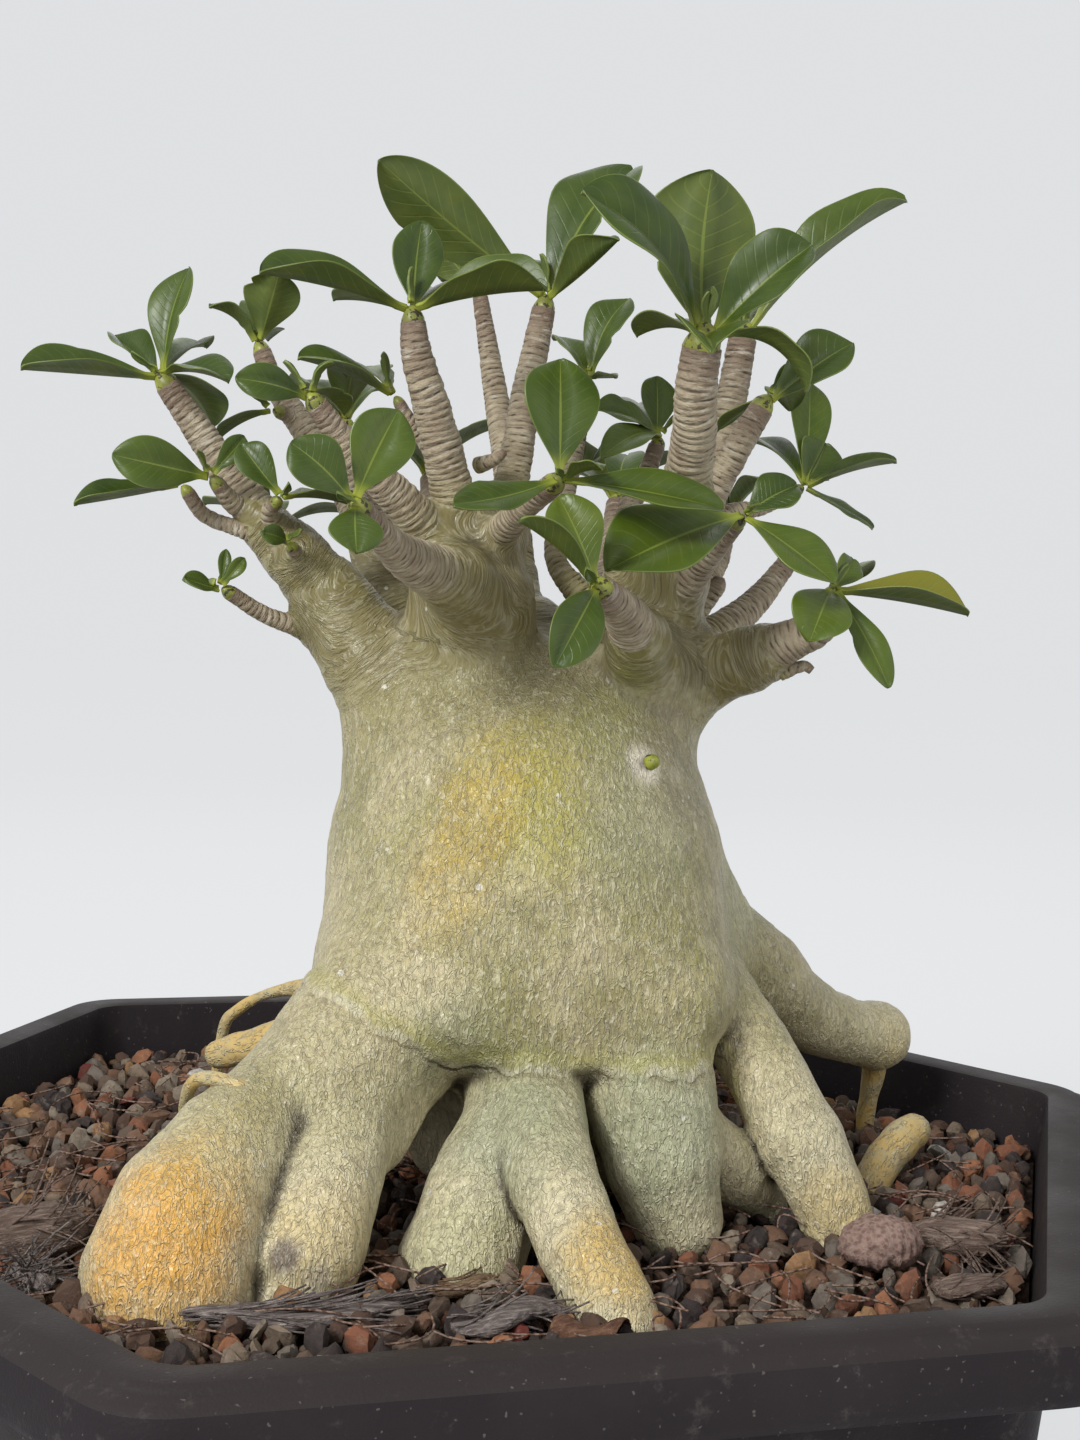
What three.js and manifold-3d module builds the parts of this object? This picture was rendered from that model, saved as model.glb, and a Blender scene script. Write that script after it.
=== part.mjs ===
// A potted desert rose (adenium) in a hexagonal pot, in millimetres, +Z up.
// The origin is the centre of the pot's underside; -Y is the front, and two corners of the pot lie on X.
// Everything that grew as wood is one solid; each rosette of leaves is a solid of its own.
import * as THREE from "three";
import Module from "manifold-3d";

const wasm = await Module();
wasm.setup();

// Driving dimensions. A "corner" is the distance from the pot's axis to the sharp corner of a hexagon.
const POT_HEIGHT = 95;
const POT_FLOOR = 6;
const RIM_CORNER = 177;
const RIM_FILLET = 18;
const BODY_FILLET = 16;
const MOUTH_CORNER = 160;
const MOUTH_FILLET = 10;
const LIP_HEIGHT = 15;
const LIP_CHAMFER = 2;
const LIP_SHOULDER = 5;
const LIP_STEP = [3, 5, 6.5];
const EDGE = 1.5;
const POT_WALL = 4;
const POT_TAPER = 0.13;
const FOOT_HEIGHT = 4;
const FOOT_CHAMFER = 3;
const FOOT_RING = 13;
const FOOT_GAP = 46;
const DRAIN_RADIUS = 6;
const DRAIN_CIRCLE = 78;
const DRAIN_SIDES = 8;
const ARC_STEPS = 2;

const GAP = 0.35;
const SOIL_TOP = 79;
const SOIL_MOUND = 3;
const MOUND_REACH = 130;
const PEBBLE_PITCH = 15;
const PEBBLE_HEIGHT = 3.6;
const PEBBLE_JITTER = 1.6;
const PEBBLE_SIZES = [0.6, 1.3];
const HOLLOW_DEPTH = 1;

const SKIN_CELL = 9;
const SKIN_FROM = [-98, -116, 44];
const SKIN_TO = [134, 98, 250];
const ROOT_FOOT = 74;
const ROOT_BLEND = 7;
const LIMB_BLEND = 9;
const TWIG_SIDES = 5;

const BLADE_THICKNESS = 0.8;
const PETIOLE_HALF_WIDTH = 0.8;
const LEAF_SEAT = 3;
const LEAF_INSET = 0.45;
const SHOOT_TIP = 6;
const GOLDEN_ANGLE = 2.4;
const WHORL_ARCH = 3;
const WHORL_FOLD = 20;

const LITTER_SIDES = 7;
const LITTER_ROUGHNESS = [0.84, 1.14];
const LITTER_RISE = 1;

const COLOURS = {
  pot: 0x3b3331,
  soil: 0x6b4a3c,
  wood: 0x9c9a6e,
  leaf: 0x3c6a26,
  husk: 0x6b5344,
  lump: 0x7d5f55,
};

// Thick wood, as [x, y, z, radius] along each stretch. The first stretch is the swollen stem itself.
const CAUDEX = [
  [[18, -8, 108, 38], [15, -5, 134, 49], [13, -5, 158, 48], [13, -5, 170, 44]],
];
const ROOTS = [
  // The foot of the stem, hidden between the roots.
  [[18, -6, 104, 30], [18, -4, 74, 24]],
  // Front left: one leg that parts into a swollen outer root and a slimmer inner one.
  [[-14, -25, 139, 17], [-29, -35, 123, 18], [-39, -45, 112, 16]],
  [[-12, -32, 128, 15], [-24, -44, 112, 13], [-34, -52, 102, 11]],
  [
    [-43, -40, 120, 11], [-54, -48, 112, 9.5], [-62, -55, 105, 11.5], [-72, -64, 94, 15], [-76, -68, 83, 16],
    [-77, -70, 72, 12],
  ],
  [[-34, -45, 114, 13], [-42, -60, 98, 11.8], [-47, -68, 87, 12], [-50, -71, 77, 9.3], [-51, -72, 70, 8.5]],
  // Front centre: a broad foot and the long toe that leaves it.
  [[5, -38, 122, 15], [-1, -50, 106, 13], [-10, -58, 91, 14], [-14, -62, 81, 14], [-15, -63, 70, 10]],
  [[5, -48, 114, 12], [4, -68, 102, 9.5], [7, -84, 90, 9], [11, -94, 81, 8.5], [14, -100, 72, 7]],
  // Front right: a stout leg with a side lobe, and a separate slimmer leg.
  [[32, -40, 129, 16], [33, -48, 113, 16], [35, -54, 99, 14], [37, -56, 86, 10.5], [38, -56, 77, 7]],
  [[44, -46, 104, 11], [56, -43, 93, 8], [64, -40, 84, 5.5], [68, -39, 76, 4]],
  [[55, -30, 129, 10], [62, -42, 115, 9.5], [68, -52, 100, 9.8], [73, -57, 88, 8.6], [77, -60, 76, 7.5]],
  // Far right: the root that rides above the soil and ends in a knob.
  [
    [58, -5, 140, 15], [76, 0, 128, 12.5], [86, 3, 121, 10], [97, 8, 114, 8.8], [108, 12, 110, 8.5],
    [117, 15, 108, 9.3],
  ],
  // Back.
  [[-10, 24, 130, 16], [-20, 50, 106, 13], [-30, 74, 86, 12], [-33, 82, 72, 9]],
  [[16, 28, 128, 17], [18, 56, 104, 13], [14, 78, 84, 11], [12, 86, 72, 8]],
  [[38, 22, 130, 15], [54, 46, 106, 12], [66, 64, 86, 10], [71, 72, 72, 8]],
];
const LIMBS = [
  [[-11, -3, 190, 20], [-25, -2, 206, 12], [-36, 1, 222, 9], [-44, 3, 231, 6.5]],
  [[-8, 14, 200, 12], [-14, 18, 212, 7.5], [-18, 24, 227, 5]],
  [[-5, -16, 222, 8], [-14, -20, 235, 5.5]],
  [[-4, -22, 220, 9], [-12, -34, 225, 7]],
  [[3, -8, 193, 16], [-4, -12, 212, 14], [-4, -14, 222, 13.5], [-4, -15, 231, 11]],
  [[33, -5, 190, 20], [42, -9, 209, 15], [40, -12, 218, 13], [41, -13, 228, 12], [42, -14, 234, 9]],
  [[43, -16, 231, 8.5], [41, -34, 245, 5.5]],
  [[40, -12, 201, 12], [54, -20, 205, 8], [62, -30, 210, 6]],
  [[16, 20, 206, 10], [17, 32, 226, 6]],
  [[20, 6, 196, 12], [20, 16, 214, 8]],
  [[34, -28, 208, 8], [29, -40, 213, 6.5]],
  [[-1, 16, 194, 16], [-8, 26, 209, 11]],
  [[14, 16, 194, 18], [11, 32, 210, 11]],
  [[34, 10, 196, 16], [43, 24, 208, 11]],
];

// Thin wood and thin roots: tubes that start inside the thick wood and end blunt.
const ROOTLETS = [
  [[117, 15, 107, 5], [118, 18, 97, 3], [118, 21, 87, 2.5], [118, 23, 74, 2.5]],
  [
    [57, -40, 91, 5], [72, -35, 80, 4.5], [80, -35, 74, 4.5], [91, -32, 77, 4.5], [101, -24, 85, 4.8],
    [109, -18, 89, 4.8], [115, -13, 90, 4.5],
  ],
  [[-26, -2, 119, 9], [-46, 10, 112, 5], [-57, 18, 108, 3.6]],
  [
    [-46, -40, 109, 3], [-53, -37, 108, 1.6], [-58, -34, 111, 1.5], [-65, -29, 113, 1.4], [-68, -25, 111, 1.3],
    [-69, -22, 106, 1],
  ],
  [[-26, 28, 122, 4], [-40, 43, 118, 1.5], [-49, 50, 112, 1.5], [-53, 54, 104, 1.5], [-55, 57, 76, 1.5]],
];

// Each twig ends in a rosette. A leaf is [x, y, z of its tip from the twig's end, width, arch, fold, facing]:
// arch lifts the middle of the blade, fold raises both halves from the midrib,
// and facing is where its upper side looks.
const FACING = {
  up: [0, 0, 1],
  front: [0, -1, 0.15],
  back: [0, 1, 0.3],
  upfront: [0, -1, 1],
  upback: [0, 1, 1],
  upish: [0, -0.45, 1],
  left: [-1, 0, 0.5],
  upleft: [-1, -1, 0.6],
  frontleft: [-1, -1, 0.2],
};
const SHOOTS = {
  rosette_left_tip: {
    twig: [[-44, 3, 231, 6.5], [-55, 6, 244, 4.8], [-65, 8, 258, 3.6], [-73, 8, 269, 2.9]],
    leaves: [
      [-33, -8, 1, 14, 0, 46, "upish"], [-12, 12, 12, 12, 0.5, 35, "upish"], [5, 5, 28, 12, 2, 25, "frontleft"],
      [13, -14, 0, 13, 1.5, 25, "upish"], [10, 18, 12, 12, 2, 20, "up"], [12, 12, -8, 13, 3, 15, "up"],
    ],
  },
  rosette_left_low: {
    twig: [[-47, 3, 233, 3], [-56, 3, 236, 2], [-64, 5, 239, 1.8], [-68, 5, 244, 1.7]],
    leaves: [[-26, -7, -4, 9, 0, 46, "upish"], [-7, 12, 7, 7, 1, 20, "up"]],
  },
  rosette_left_side: {
    twig: [[-52, 5, 240, 3.5], [-58, 1, 242, 2.4], [-62, -3, 246, 1.8]],
    leaves: [[-24, -6, 5, 11.5, 1.5, 15, "front"], [6, 0, 11, 5.5, 1, 15, "front"]],
  },
  rosette_left_inner: {
    twig: [[-48, 3, 235, 3], [-50, -4, 240, 1.9], [-49, -8, 242, 1.6]],
    leaves: [[-8, 2, 13, 8.5, 1, 20, "front"], [19, 12, 1, 11, 1, 20, "up"]],
  },
  leaf_left_limb: {
    twig: [[-42, 0, 228, 2.5], [-45, -7, 232, 1.5]],
    leaves: [[-8, -6, 3, 4.8, 1, 20, "front"]],
  },
  rosette_left_bottom: {
    twig: [[-36, 0, 212, 3], [-50, -4, 216, 2], [-59, -8, 221, 1.8]],
    leaves: [
      [-11, -4, 3, 6, 0, 20, "upfront"], [-1, 2, 10, 3, 0, 20, "front"], [3, -1, 8, 3.5, 1, 20, "front"],
    ],
  },
  rosette_left_back: {
    twig: [[-15, 20, 216, 7], [-26, 33, 247, 4], [-37, 40, 264, 3.6], [-44, 44, 275, 2.8], [-47, 46, 283, 2.4]],
    leaves: [
      [-14, -4, 10, 7, 2, 30, "up"], [3, -8, 19, 14, 0, 15, "back"], [1, 16, 14, 10, 2, 20, "up"],
      [4, 22, 6, 11, 2, 20, "up"],
    ],
  },
  rosette_left_back_low: {
    twig: [[-37, 40, 264, 2.6], [-40, 39, 266, 2], [-43, 37, 267, 1.8]],
    leaves: [[-15, 3, -7, 11, 1, 15, "up"]],
  },
  rosette_left_front: {
    twig: [[-12, -19, 233, 6], [-24, -27, 243, 4.4], [-36, -32, 253, 3.3], [-44, -35, 262, 2.4]],
    leaves: [[-18, -5, 4, 8, 2, 18, "front"], [3, -3, 9, 3, 1, 40, "left"], [9, 18, 0, 8, 2, 20, "up"]],
  },
  rosette_front_left: {
    twig: [[-12, -34, 225, 7], [-26, -53, 229, 4.8], [-34, -65, 233, 3.3], [-41, -77, 238, 2.6]],
    leaves: [
      [-14, -2, 12, 10.5, 1, 15, "front"], [8, 4, 20, 12.5, -1, 15, "front"], [-2, -10, -9, 10, 1, 10, "front"],
    ],
  },
  rosette_centre_left: {
    twig: [
      [-8, -17, 235, 6.5], [-11, -22, 246, 5], [-17, -26, 264, 4.2], [-21, -28, 275, 3.5], [-22, -28, 282, 2.8],
    ],
    leaves: [
      [-35, -8, 7, 16, 1, 48, "upish"], [-15, 20, 7, 9, 1, 25, "up"], [3, 8, 24, 11.5, -2, 15, "front"],
      [27, -14, 7, 19, 1, 55, "upish"], [12, 26, 10, 13, 3, 20, "up"],
    ],
  },
  rosette_centre_low: {
    twig: [[-12, -21, 249, 2.5], [-17, -20, 256, 1.6], [-23, -19, 265, 1.4]],
    leaves: [[-24, -6, 8, 11, 1, 35, "upish"], [-8, 24, 8, 11, 3, 20, "up"]],
  },
  rosette_centre_tall: {
    twig: [[3, -13, 236, 6], [6, -12, 252, 4], [9, -10, 270, 3.6], [13, -8, 290, 2.8]],
    leaves: [
      [-42, -10, 29, 15.5, 2, 15, "back"], [25, 12, 37, 21, 5, 25, "upleft"], [12, -20, 14, 14, -1, 50, "up"],
      [-4, 18, 14, 11, 2, 20, "up"],
    ],
  },
  rosette_front_centre: {
    twig: [[-1, -20, 234, 4.5], [1, -40, 241, 3], [4, -55, 246, 2.5]],
    leaves: [
      [2, 5, 27, 16, 1, 12, "front"], [37, -4, -4, 12, 1, 25, "upfront"], [-25, -16, -6, 9, -1, 15, "upfront"],
      [8, -10, 3, 8, 1, 20, "up"],
    ],
  },
  rosette_front_low: {
    twig: [[29, -39, 213, 6.5], [21, -54, 219, 4.6], [12, -66, 224, 2.8]],
    leaves: [
      [-9, 3, 19, 12, 1, 20, "front"], [-21, -12, 13, 9, 1, 35, "up"], [-14, -16, -16, 11, 3, 20, "front"],
    ],
  },
  rosette_right_tall: {
    twig: [[42, -30, 245, 6], [39, -44, 259, 5], [37, -50, 268, 4.7], [37, -53, 277, 4.4]],
    leaves: [
      [-32, -13, 28, 22, 5, 20, "upfront"], [2, 3, 39, 25, 2, 15, "back"], [21, -9, 22, 18, 2, 32, "upfront"],
      [22, -7, -9, 12, 5, 25, "up"], [-6, -24, -4, 19, 0, 40, "up"], [-10, 16, 4, 12, 2, 25, "up"],
    ],
  },
  rosette_rear_tall: {
    twig: [[50, -3, 228, 6.5], [60, 4, 248, 4.6], [66, 9, 267, 4.2], [70, 10, 289, 3.6]],
    leaves: [[39, -10, 36, 19, 4, 46, "upish"], [-6, 24, 12, 12, 3, 20, "up"], [15, 28, 15, 14, 3, 20, "up"]],
  },
  rosette_right_inner: {
    twig: [[48, -8, 232, 6], [55, -11, 247, 3.8], [61, -14, 260, 3.4], [66, -15, 269, 3]],
    leaves: [[20, -7, 16, 15, 2, 25, "upfront"], [-5, 17, -4, 5, 1, 10, "up"], [14, 16, 2, 10, 3, 20, "up"]],
  },
  rosette_front_right: {
    twig: [[42, -16, 221, 7], [46, -28, 230, 4.2], [48, -38, 236, 2.9], [50, -43, 240, 2.2]],
    leaves: [
      [14, -1, 9, 11, 0.5, 20, "upfront"], [18, -15, -13, 13, 1, 15, "upfront"],
      [-35, -17, -12, 20, 1, 20, "upfront"],
    ],
  },
  rosette_right_side: {
    twig: [[54, 2, 230, 5], [66, 7, 244, 2.8], [78, 12, 247, 1.8], [88, 14, 252, 1.6]],
    leaves: [
      [24, -8, 8, 8.5, 1, 40, "upish"], [10, 6, 13, 14, 0, 20, "front"], [9, 16, 30, 11, 1, 15, "front"],
      [21, -2, -9, 8, 0, 10, "upish"], [-6, 22, 14, 12, 3, 20, "up"],
    ],
  },
  rosette_right_tip: {
    twig: [[60, -28, 209, 6.5], [67, -37, 214, 4.8], [72, -41, 217, 3.8], [73, -43, 223, 2.8]],
    leaves: [
      [31, -9, -2, 15, 0.5, 50, "upish"], [8, 5, 10, 7, 1, 20, "front"], [-10, -14, -9, 14, 2, 20, "upfront"],
      [10, -13, -19, 7.5, 1.5, 15, "front"], [16, 20, 6, 12, 3, 20, "up"],
    ],
  },
  rosette_middle_right: {
    twig: [[41, -4, 223, 7], [42, 12, 243, 3.4], [49, 20, 255, 2.5], [52, 22, 262, 2.2]],
    leaves: [
      [2, 8, 19, 10, 0, 20, "front"], [-19, -6, 8, 10, 2, 25, "upfront"], [-20, -18, -5, 9, 3, 20, "upfront"],
      [-14, 10, -4, 6.5, 2, 20, "upfront"], [2, 26, 13, 13, 3, 20, "up"],
    ],
  },
  rosette_middle: {
    twig: [[30, -4, 218, 4], [21, 4, 232, 2.6], [27, 18, 248, 2.4], [33, 28, 266, 2.1], [35, 30, 277, 1.9]],
    leaves: [[12, 4, 24, 12, 3, 20, "frontleft"], [-5, 14, 14, 9, 2, 20, "up"], [5, -10, 2, 5, 0, 20, "up"]],
  },
  rosette_back_centre: {
    twig: [[17, 30, 222, 6.5], [19, 44, 250, 4.2], [17, 55, 276, 3.3], [13, 60, 303, 2.1]],
    leaves: [[-12, 2, 15, 11, 2, 20, "back"], [20, 14, 8, 12, 3, 20, "up"], [-6, 24, 8, 12, 3, 20, "up"]],
  },
};

// Shoots at the back: a twig and the number, length and width of the leaves in its whorl.
const BACK_SHOOTS = {
  rosette_back_far_left: {
    twig: [[-14, 22, 206, 11], [-28, 42, 220, 5.5], [-37, 56, 229, 4], [-41, 64, 236, 2.8]],
    whorl: [4, 24, 12],
  },
  rosette_back_left: {
    twig: [[-8, 28, 210, 10], [-15, 50, 236, 5.5], [-20, 60, 254, 4], [-22, 64, 266, 2.8]],
    whorl: [4, 26, 13],
  },
  rosette_back_middle: {
    twig: [[10, 32, 209, 10], [7, 62, 230, 5.5], [6, 78, 244, 4], [6, 88, 255, 2.8]],
    whorl: [4, 28, 14],
  },
  rosette_back_right: {
    twig: [[40, 22, 207, 10], [48, 48, 226, 5.5], [55, 66, 240, 4], [58, 76, 250, 2.8]],
    whorl: [4, 27, 13],
  },
  rosette_back_far_right: {
    twig: [[44, 20, 205, 10], [66, 38, 220, 5], [79, 50, 234, 4], [84, 56, 244, 2.8]],
    whorl: [4, 26, 12],
  },
};

// A bare twig that has lost its leaves.
const BARE_TWIGS = [
  [[54, 2, 209, 5.5], [73, 10, 220, 4], [82, 14, 228, 3.1], [88, 16, 235, 2.5]],
];

// Loose bits lying on the soil: [x, y, length, width, height, turn in degrees].
const LITTER = {
  husk_chunk_left: [-101, -41, 24, 14, 11, 12],
  husk_tuft_left: [-101, -60, 15, 8, 6, -60],
  husk_strip_left: [-52, -88, 44, 7, 4, -4],
  husk_strip_middle: [-17, -80, 18, 4, 3, 5],
  husk_strip_front: [-11, -98, 26, 8, 4, 4],
  husk_fan_right: [94, -77, 22, 11, 9, -30],
  bark_chip_right: [86, -99, 17, 9, 4, 6],
  soil_lump_right: [75, -80, 19, 15, 11, 0],
  dry_leaf_front: [2, -108, 17, 10, 4, 10],
};

// A repeatable stream of numbers from 0 to 1.
function stream(seed) {
  let state = seed;
  return () => {
    state = (state * 1664525 + 1013904223) % 4294967296;
    return state / 4294967296;
  };
}

function vector(point) {
  return new THREE.Vector3(point[0], point[1], point[2]);
}

// Closed solids are kept as manifold-3d solids until they become meshes.
function solid(vertices, triangles) {
  const vertProperties = new Float32Array(vertices.flatMap((vertex) => [vertex.x, vertex.y, vertex.z]));
  const triVerts = new Uint32Array(triangles);
  return new wasm.Manifold(new wasm.Mesh({ numProp: 3, vertProperties, triVerts }));
}

function unite(solids) {
  return solids.reduce((whole, piece) => whole.add(piece));
}

// Skins a stack of rings of equal length, each running counter-clockwise seen from above the stack's end.
function loft(rings) {
  const sides = rings[0].length;
  const vertices = rings.flat();
  const triangles = [];
  for (let level = 0; level + 1 < rings.length; level += 1) {
    for (let side = 0; side < sides; side += 1) {
      const a = level * sides + side;
      const b = level * sides + (side + 1) % sides;
      triangles.push(a, b, b + sides, a, b + sides, a + sides);
    }
  }
  const total = (ring) => ring.reduce((sum, vertex) => sum.add(vertex), new THREE.Vector3());
  const centre = (ring) => total(ring).divideScalar(sides);
  const first = vertices.push(centre(rings[0])) - 1;
  const last = vertices.push(centre(rings[rings.length - 1])) - 1;
  const top = (rings.length - 1) * sides;
  for (let side = 0; side < sides; side += 1) {
    const next = (side + 1) % sides;
    triangles.push(first, next, side, last, top + side, top + next);
  }
  return solid(vertices, triangles);
}

// A tube through [x, y, z, radius] points, on a smooth curve, with flat ends.
function tube(points, sides, stepsPerSpan) {
  const curve = new THREE.CatmullRomCurve3(points.map(vector));
  const spans = points.length - 1;
  const steps = spans * stepsPerSpan;
  const rings = [];
  const upright = Math.abs(curve.getTangent(0).z) > 0.9;
  let normal = upright ? new THREE.Vector3(1, 0, 0) : new THREE.Vector3(0, 0, 1);
  for (let step = 0; step <= steps; step += 1) {
    const along = step / steps;
    const tangent = curve.getTangent(along);
    normal = normal.clone().addScaledVector(tangent, -normal.dot(tangent)).normalize();
    const across = new THREE.Vector3().crossVectors(tangent, normal);
    const span = Math.min(Math.floor(along * spans), spans - 1);
    const radius = THREE.MathUtils.lerp(points[span][3], points[span + 1][3], along * spans - span);
    const ring = [];
    for (let side = 0; side < sides; side += 1) {
      const angle = (side / sides) * 2 * Math.PI;
      ring.push(curve.getPoint(along)
        .addScaledVector(normal, radius * Math.cos(angle))
        .addScaledVector(across, radius * Math.sin(angle)));
    }
    rings.push(ring);
  }
  return loft(rings);
}

// ---- Pot ----

function hexagon(corner, fillet, z) {
  const ring = [];
  const reach = corner - fillet / Math.cos(Math.PI / 6);
  for (let side = 0; side < 6; side += 1) {
    const axis = side * Math.PI / 3;
    for (let step = 0; step <= ARC_STEPS; step += 1) {
      const angle = axis + (step / ARC_STEPS - 0.5) * Math.PI / 3;
      ring.push(new THREE.Vector3(
        reach * Math.cos(axis) + fillet * Math.cos(angle),
        reach * Math.sin(axis) + fillet * Math.sin(angle),
        z,
      ));
    }
  }
  return ring;
}

function innerCorner(z) {
  return MOUTH_CORNER - (POT_HEIGHT - z) * POT_TAPER;
}

function outerCorner(z) {
  return innerCorner(z) + POT_WALL;
}

function turnedBlock(length, width, height, x, y, z, turn) {
  const ring = (level) => [[-1, -1], [1, -1], [1, 1], [-1, 1]].map(([u, v]) => new THREE.Vector3(
    u * length / 2, v * width / 2, level,
  ).applyAxisAngle(new THREE.Vector3(0, 0, 1), turn).add(new THREE.Vector3(x, y, 0)));
  return loft([ring(z), ring(z + height)]);
}

function potSolid() {
  const lip = POT_HEIGHT - LIP_HEIGHT;
  const body = outerCorner(lip);
  let pot = loft([
    hexagon(outerCorner(0) - FOOT_CHAMFER, BODY_FILLET, 0),
    hexagon(outerCorner(0), BODY_FILLET, FOOT_CHAMFER),
    hexagon(body, BODY_FILLET, lip),
    hexagon(RIM_CORNER - LIP_CHAMFER, RIM_FILLET, lip),
    hexagon(RIM_CORNER, RIM_FILLET, lip + LIP_CHAMFER),
    hexagon(RIM_CORNER, RIM_FILLET, POT_HEIGHT - LIP_SHOULDER),
    hexagon(RIM_CORNER - LIP_STEP[0], BODY_FILLET, POT_HEIGHT - EDGE),
    hexagon(RIM_CORNER - LIP_STEP[1], BODY_FILLET, POT_HEIGHT - EDGE),
    hexagon(RIM_CORNER - LIP_STEP[2], BODY_FILLET, POT_HEIGHT),
    hexagon(MOUTH_CORNER + EDGE, MOUTH_FILLET, POT_HEIGHT),
    hexagon(MOUTH_CORNER, MOUTH_FILLET, POT_HEIGHT - EDGE),
    hexagon(innerCorner(POT_FLOOR), MOUTH_FILLET, POT_FLOOR),
  ]);
  const recess = outerCorner(0) - FOOT_RING;
  const under = [-1, FOOT_HEIGHT - 1];
  pot = pot.subtract(loft(under.map((z) => hexagon(recess, MOUTH_FILLET, z))));
  for (let side = 0; side < 6; side += 1) {
    const turn = (side + 0.5) * Math.PI / 3;
    const reach = outerCorner(0) * Math.cos(Math.PI / 6);
    const x = reach * Math.cos(turn);
    const y = reach * Math.sin(turn);
    pot = pot.subtract(turnedBlock(3 * FOOT_RING, FOOT_GAP, FOOT_HEIGHT, x, y, -1, turn));
    const drain = [];
    for (const z of [-1, POT_FLOOR + 1]) {
      drain.push([...Array(DRAIN_SIDES).keys()].map((step) => {
        const angle = (step / DRAIN_SIDES) * 2 * Math.PI;
        return new THREE.Vector3(
          DRAIN_CIRCLE * Math.cos(turn) + DRAIN_RADIUS * Math.cos(angle),
          DRAIN_CIRCLE * Math.sin(turn) + DRAIN_RADIUS * Math.sin(angle),
          z,
        );
      }));
    }
    pot = pot.subtract(loft(drain));
  }
  return pot;
}

// ---- Wood ----

// Distance to the thick wood: negative inside. Limbs melt into each other over the blend length.
function thickWood() {
  const parts = [];
  const gather = (stretches, blend) => stretches.forEach((points) => {
    const box = new THREE.Box3().setFromPoints(points.map(vector));
    box.expandByScalar(Math.max(...points.map((point) => point[3])) + blend);
    parts.push({ points, blend, box });
  });
  gather(CAUDEX, 1);
  gather(ROOTS, ROOT_BLEND);
  gather(LIMBS, LIMB_BLEND);
  return parts;
}

function stretchDistance(points, x, y, z) {
  let nearest = Infinity;
  for (let index = 0; index + 1 < points.length; index += 1) {
    const [ax, ay, az, ar] = points[index];
    const [bx, by, bz, br] = points[index + 1];
    const [dx, dy, dz] = [bx - ax, by - ay, bz - az];
    const along = ((x - ax) * dx + (y - ay) * dy + (z - az) * dz) / (dx * dx + dy * dy + dz * dz);
    const t = Math.min(1, Math.max(0, along));
    const off = Math.hypot(x - ax - dx * t, y - ay - dy * t, z - az - dz * t);
    nearest = Math.min(nearest, off - ar - (br - ar) * t);
  }
  return nearest;
}

function woodField(parts) {
  return (x, y, z) => {
    const here = new THREE.Vector3(x, y, z);
    let field = 1e3;
    for (const { points, blend, box } of parts) {
      if (box.distanceToPoint(here) < field) {
        const part = stretchDistance(points, x, y, z);
        const mix = Math.max(0, blend - Math.abs(field - part)) / blend;
        field = Math.min(field, part) - mix * mix * blend / 4;
      }
    }
    return field;
  };
}

// The twelve edges of a cell, numbered 4 * axis + u + 2 * v,
// where u and v are the offsets along the next two axes.
function cellEdge(axis, u, v) {
  return 4 * axis + u + 2 * v;
}

function edgeCorners(edge) {
  const axis = edge >> 2;
  const start = ((edge & 1) << ((axis + 1) % 3)) | (((edge >> 1) & 1) << ((axis + 2) % 3));
  return [start, start | (1 << axis)];
}

// Groups a cell's crossed edges into the sheets of surface that pass through the cell.
function cellSheets(inside) {
  const leader = [...Array(12).keys()];
  const find = (edge) => (leader[edge] === edge ? edge : find(leader[edge]));
  for (let axis = 0; axis < 3; axis += 1) {
    const [b, c] = [(axis + 1) % 3, (axis + 2) % 3];
    for (const side of [0, 1]) {
      const corners = [[0, 0], [1, 0], [1, 1], [0, 1]].map(([p, q]) => (side << axis) | (p << b) | (q << c));
      const edges = [cellEdge(b, 0, side), cellEdge(c, side, 1), cellEdge(b, 1, side), cellEdge(c, side, 0)];
      const changes = (index) => inside[corners[index]] !== inside[corners[(index + 1) % 4]];
      const crossed = edges.filter((edge, index) => changes(index));
      if (crossed.length === 2) {
        leader[find(crossed[0])] = find(crossed[1]);
      }
      if (crossed.length === 4) {
        corners.forEach((corner, index) => {
          if (inside[corner]) {
            leader[find(edges[(index + 3) % 4])] = find(edges[index]);
          }
        });
      }
    }
  }
  return leader.map((_, edge) => find(edge));
}

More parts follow.
